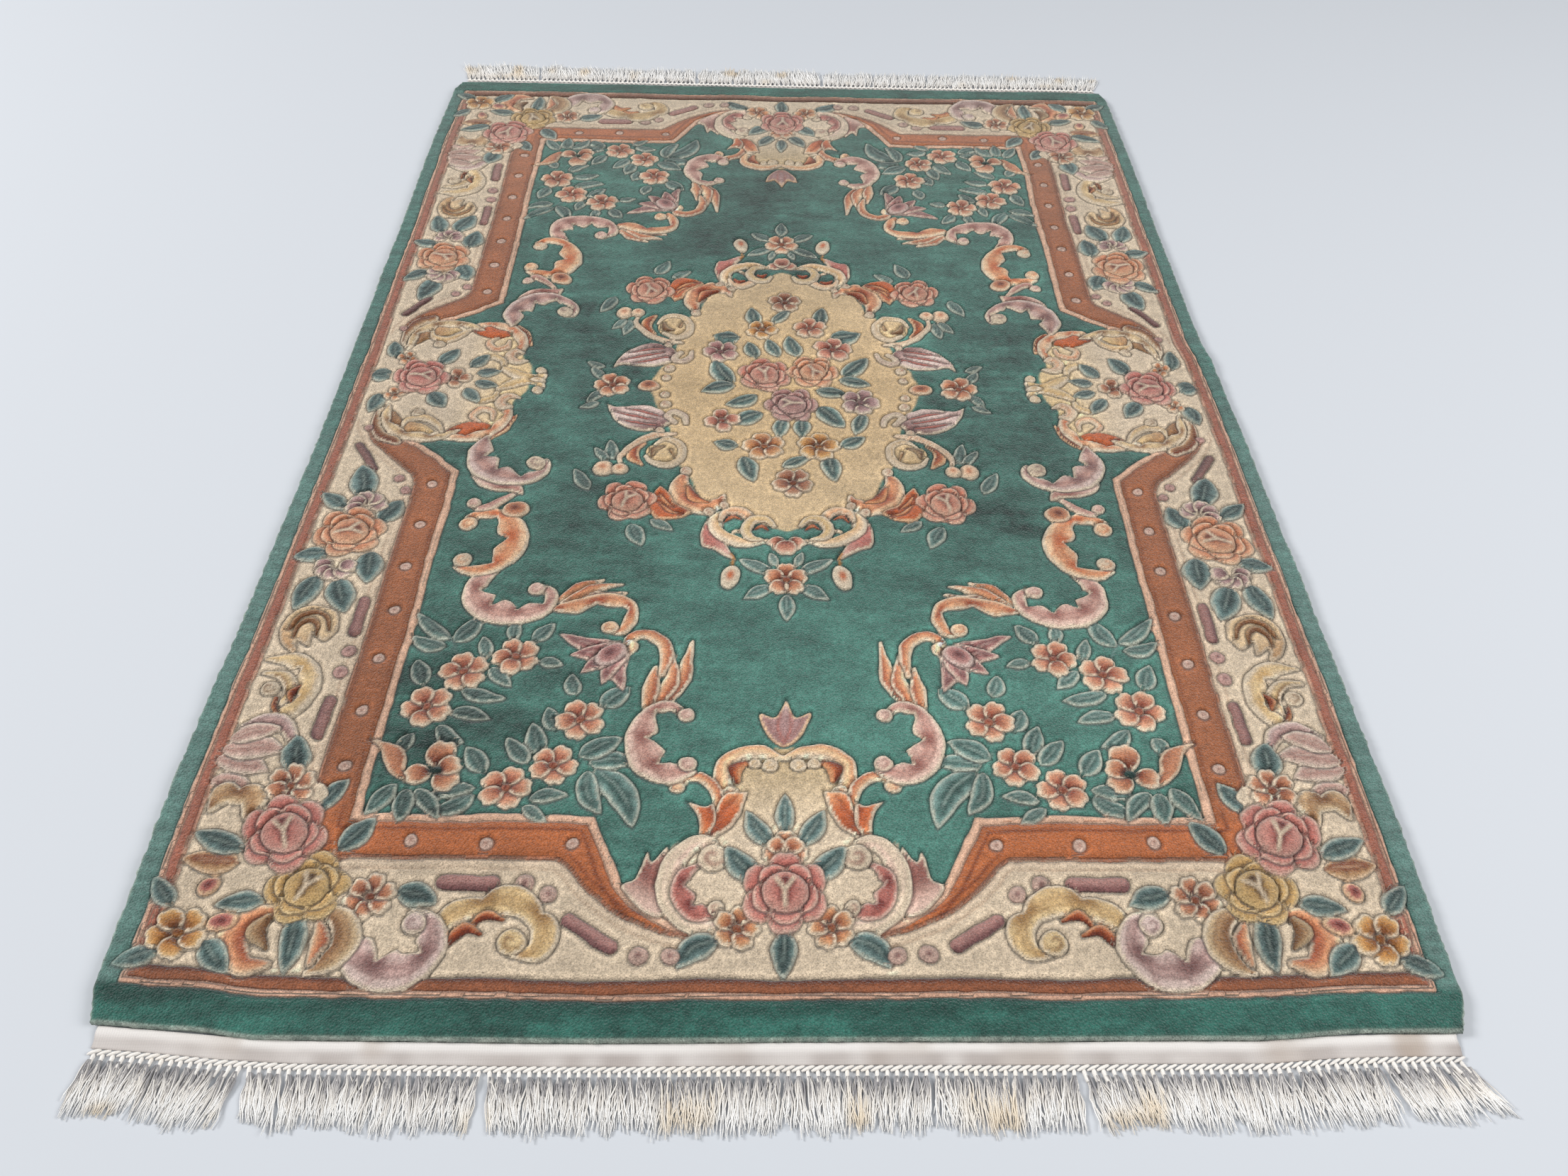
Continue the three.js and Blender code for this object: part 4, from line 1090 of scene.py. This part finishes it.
surface = np.stack([pile_x, pile_y, pile_z], -1) * MM
along_x, along_y = np.gradient(surface, axis=1), np.gradient(surface, axis=0)
top_normals = np.cross(along_x, along_y)
top_normals /= np.linalg.norm(top_normals, axis=-1, keepdims=True)

WALL = ((0.0, 8.4, 0.6), (0.0, 5.0, 0.4), (2.0, 2.5, 0.0))  # inset, height and share of the fraying


def paint(thing, name, colours):
    """Stores a colour at each vertex, with its alpha where it has one."""
    held = np.ones((len(colours), 4), np.float32)
    held[:, : colours.shape[-1]] = colours
    thing.data.color_attributes.new(name, "FLOAT_COLOR", "POINT").data.foreach_set("color", held.ravel())


def pile_quarter(name, columns, rows):
    """One quarter of the pile: its part of the top grid, rings down its wall and a flat face below.

    The top's normals are those of the whole grid, so that the quarters join without a line.
    """
    part = (slice(rows[0], rows[1] + 1), slice(columns[0], columns[1] + 1))
    wide, long = columns[1] - columns[0], rows[1] - rows[0]
    top = surface[part].reshape(-1, 3)
    number = np.arange(len(top)).reshape(long + 1, wide + 1)
    i, j = rim_loop(wide, long)
    rim = number[j, i]
    u = (pattern_x[part][j, i] / HALF_X + 1) / 2
    v = (pattern_y[part][j, i] / CORNER_Y + 1) / 2
    lift = 1 + (fold_height(*plan(u, v, 0)) / PILE_THICKNESS)
    places, rings, normals = [top], [rim], top_normals[part].reshape(-1, 3)
    outward_x = np.where(np.abs(pattern_x[part][j, i]) > HALF_X - 1, np.sign(u - 0.5), 0)
    outward_y = np.where(np.abs(pattern_y[part][j, i]) > CORNER_Y - 1, np.sign(v - 0.5), 0)
    for level, (inset, height, share) in enumerate(WALL):
        x, y = plan(u, v, inset)
        bump = share * 1.6 * wander(x + y, 20.0 * level + 0 * x, 6, 31)
        x, y = x + outward_x * bump, y + outward_y * bump
        places.append(np.stack([x, y, height * lift], 1) * MM)
        rings.append(len(top) + level * len(i) + np.arange(len(i)))
    quads = np.stack([number[:-1, :-1], number[:-1, 1:], number[1:, 1:], number[1:, :-1]], -1).reshape(-1, 4)
    walls = np.vstack([band_faces(low, high) for high, low in zip(rings, rings[1:])])
    faces = np.vstack([quads, walls]).tolist() + [rings[-1][::-1].tolist()]
    thing = place_mesh(name, np.vstack(places), faces)
    mesh = thing.data
    mesh.shade_smooth()
    corner_vertex = np.empty(len(mesh.loops), np.int32)
    mesh.loops.foreach_get("vertex_index", corner_vertex)
    corner_normals = np.empty((len(mesh.loops), 3), np.float32)
    mesh.corner_normals.foreach_get("vector", corner_normals.ravel())
    on_top = 4 * len(quads)
    corner_normals[:on_top] = normals[corner_vertex[:on_top]]
    mesh.normals_split_custom_set(corner_normals)
    for side_name, side_wool in (("inner_dye", wool[0][part]), ("outer_dye", wool[1][part])):
        rim_wool = side_wool[j, i]
        # painted shade: each ring down the wall is a tenth darker towards the floor
        walls = [rim_wool * ([1.0 - 0.1 * level] * 3 + [1]) for level in range(len(WALL))]
        paint(thing, side_name, np.vstack([side_wool.reshape(-1, 4), *walls]))
    return thing


def wool_pile():
    """Clipped wool: the dye from the pile, speckled by single tufts, with a soft sheen and a napped bump."""
    material, shader = plain_material("wool_pile", FIELD_GREEN, 1.0)
    shader.inputs["Specular IOR Level"].default_value = 0.15
    shader.inputs["Sheen Weight"].default_value = 0.22
    shader.inputs["Sheen Roughness"].default_value = 0.55
    tree = material.node_tree
    place = node(tree, "ShaderNodeTexCoord").outputs["Object"]
    inner = node(tree, "ShaderNodeVertexColor", layer_name="inner_dye").outputs
    outer = node(tree, "ShaderNodeVertexColor", layer_name="outer_dye").outputs
    tufts = node(tree, "ShaderNodeTexNoise", {"Vector": place, "Scale": 430.0, "Detail": 2.0,
                                              "Roughness": 0.6})
    locks = node(tree, "ShaderNodeTexNoise", {"Vector": place, "Scale": 150.0, "Detail": 2.0})
    # the edge between two dyes, roughened by the tufts, with a shadow line in the cut
    rough = node(tree, "ShaderNodeMath", {0: tufts.outputs["Fac"], 1: 0.09, 2: -0.045},
                 operation="MULTIPLY_ADD")
    cut = node(tree, "ShaderNodeMath", {0: inner["Alpha"], 1: rough.outputs[0]}, operation="ADD").outputs[0]
    outside = node(tree, "ShaderNodeMapRange", {"Value": cut, "From Min": 0.47, "From Max": 0.53})
    dyed = node(tree, "ShaderNodeMix", {0: outside.outputs[0], 6: inner["Color"], 7: outer["Color"]},
                data_type="RGBA")
    off = node(tree, "ShaderNodeMath", {0: cut, 1: 0.515}, operation="SUBTRACT")
    off = node(tree, "ShaderNodeMath", {0: off.outputs[0]}, operation="ABSOLUTE")
    line = node(tree, "ShaderNodeMapRange", {"Value": off.outputs[0], "From Min": 0.09, "From Max": 0.02})
    close = node(tree, "ShaderNodeMapRange", {"Value": outer["Alpha"], "From Min": 0.2, "From Max": 0.16})
    line = node(tree, "ShaderNodeMath", {0: line.outputs[0], 1: close.outputs[0]}, operation="MULTIPLY")
    lit = node(tree, "ShaderNodeMath", {0: line.outputs[0], 1: -0.28, 2: 1.0}, operation="MULTIPLY_ADD")
    # the tufts' speckle and the larger locks: partly their uneven tone, partly painted light and shade of
    # tufts
    speckle = node(tree, "ShaderNodeMapRange", {"Value": tufts.outputs["Fac"], "From Min": 0.3,
                                                "From Max": 0.7})
    speckle.inputs["To Min"].default_value = 0.68
    speckle.inputs["To Max"].default_value = 1.28
    patch = node(tree, "ShaderNodeMapRange", {"Value": locks.outputs["Fac"], "From Min": 0.3,
                                              "From Max": 0.7})
    patch.inputs["To Min"].default_value = 0.84
    patch.inputs["To Max"].default_value = 1.16
    shade = node(tree, "ShaderNodeMath", {0: speckle.outputs[0], 1: patch.outputs[0]}, operation="MULTIPLY")
    shade = node(tree, "ShaderNodeMath", {0: shade.outputs[0], 1: lit.outputs[0]}, operation="MULTIPLY")
    colour = node(tree, "ShaderNodeVectorMath", {0: dyed.outputs[2], "Scale": shade.outputs[0]},
                  operation="SCALE")
    tree.links.new(colour.outputs[0], shader.inputs["Base Color"])
    nap = node(tree, "ShaderNodeTexVoronoi", {"Vector": place, "Scale": 300.0})
    height = node(tree, "ShaderNodeMath", {0: tufts.outputs["Fac"], 1: nap.outputs["Distance"]},
                  operation="SUBTRACT")
    height = node(tree, "ShaderNodeMath", {0: height.outputs[0], 1: line.outputs[0]}, operation="SUBTRACT")
    bump = node(tree, "ShaderNodeBump", {"Height": height.outputs[0], "Strength": 1.0, "Distance": 3.0 * MM})
    tree.links.new(bump.outputs[0], shader.inputs["Normal"])
    return material


pile_material = wool_pile()
middle_column, middle_row = len(lines_x) // 2, len(lines_y) // 2
for name, columns, rows in [
    ("pile_front_left", (0, middle_column), (0, middle_row)),
    ("pile_front_right", (middle_column, len(lines_x) - 1), (0, middle_row)),
    ("pile_back_left", (0, middle_column), (middle_row, len(lines_y) - 1)),
    ("pile_back_right", (middle_column, len(lines_x) - 1), (middle_row, len(lines_y) - 1)),
]:
    piece = pile_quarter(name, columns, rows)
    piece.data.materials.append(pile_material)
    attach(piece, "root")
    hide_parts("pile_body")


# The end webs: past the pile the foundation goes on as a narrow strip of plain-woven cotton, which stops
# the knots from slipping. It comes down to the floor from the edge of the pile, and its outer edge is
# twined over. Towards that edge the cotton is painted greyer, partly soil and partly painted shade.
WEB_HALF, WEB_THICKNESS, GAP = 905.0, 2.5, 0.3
WEB_ACROSS, WEB_LIFT = (0, 8, 16, 23, 29), (3.4, 3.1, 2.0, 0.7, 0)
WEB_DEPTH = WEB_ACROSS[-1]


def beyond_end(end, x, distance):
    """The y of a line this far past the pile at one end, -1 for the front: straight between 21 stations."""
    stations = np.linspace(-CORNER_X, CORNER_X, 21)
    pile_end = np.interp(x, stations, along(END_X, FRONT_Y if end < 0 else BACK_Y, stations))
    return pile_end + end * (GAP + distance)


def end_web(name, end):
    """The web: a flattened loop of section points carried across the rug, closed at both ends."""
    x = np.linspace(-WEB_HALF, WEB_HALF, 321)
    across = np.concatenate([np.linspace(0.4, WEB_DEPTH - 0.5, 11), [WEB_DEPTH - 0.1],
                             np.linspace(WEB_DEPTH - 0.4, 0.4, 5), [0.1]])
    top = np.arange(len(across)) < 11
    lift = along(WEB_ACROSS, WEB_LIFT, across) + np.where(top, WEB_THICKNESS, 0.0)
    lift[[11, -1]] += WEB_THICKNESS / 2
    place_x, place_across = np.meshgrid(x, across, indexing="ij")
    place_y = beyond_end(end, place_x, place_across)
    ripple = 0.35 * wander(place_x, 3 * place_across, 30, 41) + 0.5 * wander(place_x, 0 * place_x, 90, 42)
    place_z = lift + ripple * top
    place_x = place_x + (0.8 * wander(place_across, 0 * place_x, 6, 43)) * (np.abs(place_x) > WEB_HALF - 1)
    places = np.stack([place_x, place_y, np.maximum(place_z, 0.1)], -1).reshape(-1, 3) * MM
    number = np.arange(len(places)).reshape(place_x.shape)
    ahead = np.roll(number, -1, axis=1)
    quads = np.stack([number[:-1], number[1:], ahead[1:], ahead[:-1]], -1).reshape(-1, 4)
    caps = [number[0].tolist(), number[-1][::-1].tolist()]
    faces = quads.tolist() + caps
    if end > 0:
        faces = [face[::-1] for face in faces]
    thing = place_mesh(name, places, faces)
    thing.data.shade_smooth()
    # painted greyer towards the knots: partly soil, partly painted shade where the web slopes down
    soil_and_shade = ease(6, 18, place_across) * (0.75 + 0.25 * wander(place_x, place_across, 25, 44))
    stain = ease(0.35, 0.9, wander(place_x, place_across * 0.6, 60, 45))
    clean, dusty_and_shaded, brown = dye(236, 230, 225), dye(180, 170, 164), dye(170, 150, 132)
    tone = mix(mix(np.broadcast_to(clean, soil_and_shade.shape + (3,)), dusty_and_shaded, soil_and_shade), brown, 0.6 * stain)
    paint(thing, "dye", tone.reshape(-1, 3))
    return thing


def web_cotton():
    """The web's cotton: wefts packed as fine ribs along the rug's end, and the dye as laid on it."""
    material, shader = plain_material("web_cotton", CREAM, 0.95)
    tree = material.node_tree
    place = node(tree, "ShaderNodeTexCoord").outputs["Object"]
    dyed = node(tree, "ShaderNodeVertexColor", layer_name="dye")
    fine = {"Vector": place, "Scale": 170.0, "Distortion": 1.2, "Detail": 1.0, "Detail Scale": 1.0}
    ribs = node(tree, "ShaderNodeTexWave", fine, bands_direction="Y").outputs["Fac"]
    coarse = {"Vector": place, "Scale": 95.0, "Distortion": 1.0}
    slubs = node(tree, "ShaderNodeTexWave", coarse, bands_direction="X").outputs["Fac"]
    weave = maths(tree, "MULTIPLY", ribs, slubs)
    shade = remap(tree, ribs, to_min=0.86, to_max=1.0)
    dress(tree, shader, dyed.outputs["Color"], shade, weave, 0.5, 0.7 * MM)
    return material


web_material = web_cotton()
for name, end, node_name in (("web_front", -1, "end_web_front"), ("web_back", 1, "end_web_back")):
    piece = end_web(name, end)
    piece.data.materials.append(web_material)
    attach(piece, "root")
    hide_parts(node_name)


# The fringes: the cotton warps run on past each web. They are twined over its edge, gathered into tassels
# with a bound neck, and left as loose yarns, which lie on the floor in leaning groups with ragged tips.
TASSELS, ROOT_WIDTH, HEAD_DEPTH = 140, 9.4, 20.0
TIP_WIDTH, TIP_GAP, GATHER, LEAN_WANDER, LENGTH_WANDER = 5.0, 0.5, 0.94, 6.0, 6.0
# Groups of tassels, a row each: up to x, the lean of their tips, and their length.
FRONT_GROUPS = (
    (-765, -12, 80), (-692, -24, 84), (-600, 8, 80), (-430, -2, 82), (-392, -8, 84), (-250, 5, 84),
    (-108, 3, 82),
    (8, -3, 84), (92, 5, 82), (190, -3, 83), (340, 2, 82), (392, -6, 80), (560, 12, 81), (604, 6, 82),
    (672, 4, 82), (790, 14, 81), (870, 25, 80), (905, 37, 76),
)  # fmt: skip
BACK_GROUPS = (
    (-862, -24, 96), (-775, -28, 104), (-700, -20, 100), (-640, -4, 108), (-520, -18, 100), (-400, -8, 95),
    (-250, -4, 98), (-110, 4, 97), (110, -8, 102), (260, 6, 94), (420, 10, 92), (600, 12, 95), (760, 14, 92),
    (850, 12, 90), (905, 22, 86),
)  # fmt: skip
YARNS, YARN_STEPS, YARN_HALF = 17, 6, 1.25


def uneven(number):
    """A repeatable uneven value from -1 to 1 for each number: the broken part of a large sine."""
    wave = np.sin(number * 12.9898 + 4.137) * 43758.5453
    return 2 * (wave - np.floor(wave)) - 1


def tassel_places(groups):
    """The root, tip and length of each tassel, in mm.

    A tip gathers to the middle of its group, leans with it and strays a little.
    """
    pitch = 2 * WEB_HALF / TASSELS
    roots = -WEB_HALF + (np.arange(TASSELS) + 0.5) * pitch
    ends = np.array([group[0] for group in groups], float)
    group = np.searchsorted(ends, roots)
    middle = (np.concatenate([[-WEB_HALF], ends[:-1]])[group] + ends[group]) / 2
    lean, length = (np.array([row[k] for row in groups], float)[group] for k in (1, 2))
    number = np.arange(TASSELS)
    tips = middle + (roots - middle) * GATHER + lean + LEAN_WANDER * uneven(number)
    room = (TIP_WIDTH + TIP_GAP) * number
    tips = np.maximum.accumulate(tips - room) + room
    return roots, tips, length + LENGTH_WANDER * uneven(TASSELS + number)


def tubes(centres, halves, sides):
    """Closed tubes about many centre lines at once: centres is (tubes, steps, 3), halves (tubes, steps).

    Each ring stands across the line's direction, and the first and last rings are closed by flat faces.
    """
    count, steps, _ = centres.shape
    run = np.gradient(centres, axis=1)
    run /= np.linalg.norm(run, axis=2, keepdims=True)
    flat = np.cross(run, (0.0, 0.0, 1.0))
    flat /= np.linalg.norm(flat, axis=2, keepdims=True) + 1e-9
    up = np.cross(flat, run)
    angle = 2 * np.pi * np.arange(sides) / sides + np.pi / 2
    ring = flat[:, :, None] * np.cos(angle)[:, None] + up[:, :, None] * np.sin(angle)[:, None]
    places = centres[:, :, None] + ring * halves[:, :, None, None]
    number = np.arange(count * steps * sides).reshape(count, steps, sides)
    ahead = np.roll(number, -1, axis=2)
    quads = np.stack([number[:, :-1], number[:, 1:], ahead[:, 1:], ahead[:, :-1]], -1).reshape(-1, 4)
    caps = np.concatenate([number[:, 0], number[:, -1, ::-1]])
    return places.reshape(-1, 3), quads, caps


def fringe(name, end, groups, seed):
    """A fringe: a twined edge, a bound neck for each tassel and its loose yarns, joined as one mesh."""
    rng = np.random.default_rng(seed)
    roots, tips, lengths = tassel_places(groups)
    pitch = roots[1] - roots[0]
    parts = []
    # the twined edge: a slanting wrap over each tassel's root
    t = np.linspace(0, 1, 6)
    x = roots[:, None] + (t - 0.5) * pitch * 1.25
    across = WEB_DEPTH + 4.5 - (t - 0.5) * 7.0 + 0 * x
    z = 2.6 + 1.6 * np.sin(np.pi * t) + 0 * x
    wraps = np.stack([x, beyond_end(end, x, across), z], -1)
    thick = 2.3 * np.sin(np.pi * (0.14 + 0.72 * t)) ** 0.6 * (1 + 0.12 * rng.uniform(-1, 1, (TASSELS, 1)))
    parts.append((wraps, thick, 6, np.broadcast_to(0.42 + 0 * t, x.shape)))
    # the necks: a bound bundle, tapering in at the top and swelling towards the yarns
    share = HEAD_DEPTH / lengths
    lean = (tips - roots)[:, None] * share[:, None] * 0.8
    x = roots[:, None] + lean * t**1.4 + 0.5 * rng.uniform(-1, 1, (TASSELS, 1))
    across = WEB_DEPTH + 6.5 + (HEAD_DEPTH - 4.0) * t + 0 * x
    z = 2.7 - 0.3 * t + 0 * x
    necks = np.stack([x, beyond_end(end, x, across), z], -1)
    thick = (1.9 + 1.1 * t + 0.9 * np.exp(-(((t - 0.22) / 0.16) ** 2))) * (1 + 0.1 * rng.uniform(-1, 1,
                                                                                                 (TASSELS,
                                                                                                  1)))
    parts.append((necks, thick, 6, np.broadcast_to(0.5 - 0.1 * t, x.shape)))
    # the yarns: each leaves its neck, fans out to its own tip, wavers and lies on the floor
    t = np.linspace(0, 1, YARN_STEPS + 1)
    number = np.arange(YARNS)
    side = ((number + 0.5) / YARNS * 2 - 1) + 0.16 * rng.uniform(-1, 1, (TASSELS, YARNS))
    fan = pitch * rng.uniform(0.6, 1.25, (TASSELS, 1, 1))
    reach = lengths[:, None] * (0.96 + 0.13 * rng.uniform(-1, 1, (TASSELS, YARNS)) - 0.06 * side**2)
    start = HEAD_DEPTH - 5.0
    across = WEB_DEPTH + start + (reach[..., None] - start) * t
    waver = rng.uniform(-1, 1, (TASSELS, YARNS, 2))
    bend = 4.0 * waver[..., :1] * np.sin(np.pi * t) + 3.0 * waver[..., 1:] * np.sin(2.8 * np.pi * t)
    root_x = roots[:, None, None] + side[..., None] * 2.2
    neck_x = root_x + ((tips - roots) * share * 0.8)[:, None, None]
    tip_x = tips[:, None, None] + side[..., None] * fan
    x = neck_x + (tip_x - neck_x) * t ** 1.15 + bend
    layer = rng.uniform(0, 1, (TASSELS, YARNS, 1))
    curl = rng.uniform(0, 1, (TASSELS, YARNS, 1)) ** 3
    z = 0.8 + 3.4 * layer * (1 - 0.4 * t) + 1.2 * (1 - t) + (3.2 if end < 0 else 11.0) * curl * t**2
    yarns = np.stack([x, beyond_end(end, x, across), z], -1).reshape(-1, YARN_STEPS + 1, 3)
    thick = YARN_HALF * (1.15 - 0.55 * t**2) * (1 + 0.25 * rng.uniform(-1, 1, (TASSELS * YARNS, 1)))
    tone = t + 0.3 * rng.uniform(-1, 1, (TASSELS * YARNS, 1)) + (0.3 if end > 0 else 0)
    parts.append((yarns, thick, 3, tone))
    places, faces, tones, base_number = [], [], [], 0
    for centres, halves, sides, tone in parts:
        where, quads, caps = tubes(centres, halves, sides)
        places.append(where)
        faces += (quads + base_number).tolist() + (caps + base_number).tolist()
        tones.append(np.repeat(tone.ravel(), sides))
        base_number += len(where)
    places, tones = np.vstack(places), np.concatenate(tones)
    places[:, 2] = np.maximum(places[:, 2], 0.1)
    if end > 0:
        faces = [face[::-1] for face in faces]
    thing = place_mesh(name, places * MM, faces)
    thing.data.shade_smooth()
    # painted shade: the yarns are grey by their necks, where they shade one another, their own cream further
    # out
    shade, cream, white = dye(158, 155, 156), dye(242, 236, 228), dye(255, 253, 250)
    colour = mix(np.broadcast_to(shade, tones.shape + (3,)), cream, ease(0.08, 0.42, tones))
    colour = mix(colour, white, ease(0.4, 0.8, tones))
    yellow = ease(0.2, 0.9, wander(places[:, 0], places[:, 1], 48, seed + 50))
    colour = mix(colour, dye(240, 216, 176), 0.6 * yellow * ease(0.3, 0.8, tones))
    grey = ease(0.3, 0.9, wander(places[:, 0], places[:, 1], 36, seed + 60))
    colour = mix(colour, dye(206, 202, 200), 0.35 * grey * ease(0.8, 0.2, tones))
    paint(thing, "dye", colour)
    return thing


def fringe_cotton():
    """The fringe's cotton: matt, a little fuzzy, with the twist of the yarn as a fine bump."""
    material, shader = plain_material("fringe_cotton", CREAM, 0.95)
    shader.inputs["Sheen Weight"].default_value = 0.2
    tree = material.node_tree
    place = node(tree, "ShaderNodeTexCoord").outputs["Object"]
    dyed = node(tree, "ShaderNodeVertexColor", layer_name="dye")
    fuzz = node(tree, "ShaderNodeTexNoise", {"Vector": place, "Scale": 900.0, "Detail": 2.0})
    shade = remap(tree, fuzz.outputs["Fac"], from_min=0.3, from_max=0.7, to_min=0.86, to_max=1.1)
    dress(tree, shader, dyed.outputs["Color"], shade, fuzz.outputs["Fac"], 0.4, 0.5 * MM)
    return material


fringe_material = fringe_cotton()
for name, end, groups, seed in (("fringe_yarns_front", -1, FRONT_GROUPS, 51),
                                ("fringe_yarns_back", 1, BACK_GROUPS, 52)):
    piece = fringe(name, end, groups, seed)
    piece.data.materials.append(fringe_material)
    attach(piece, "root")
    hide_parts("fringe_front" if end < 0 else "fringe_back")
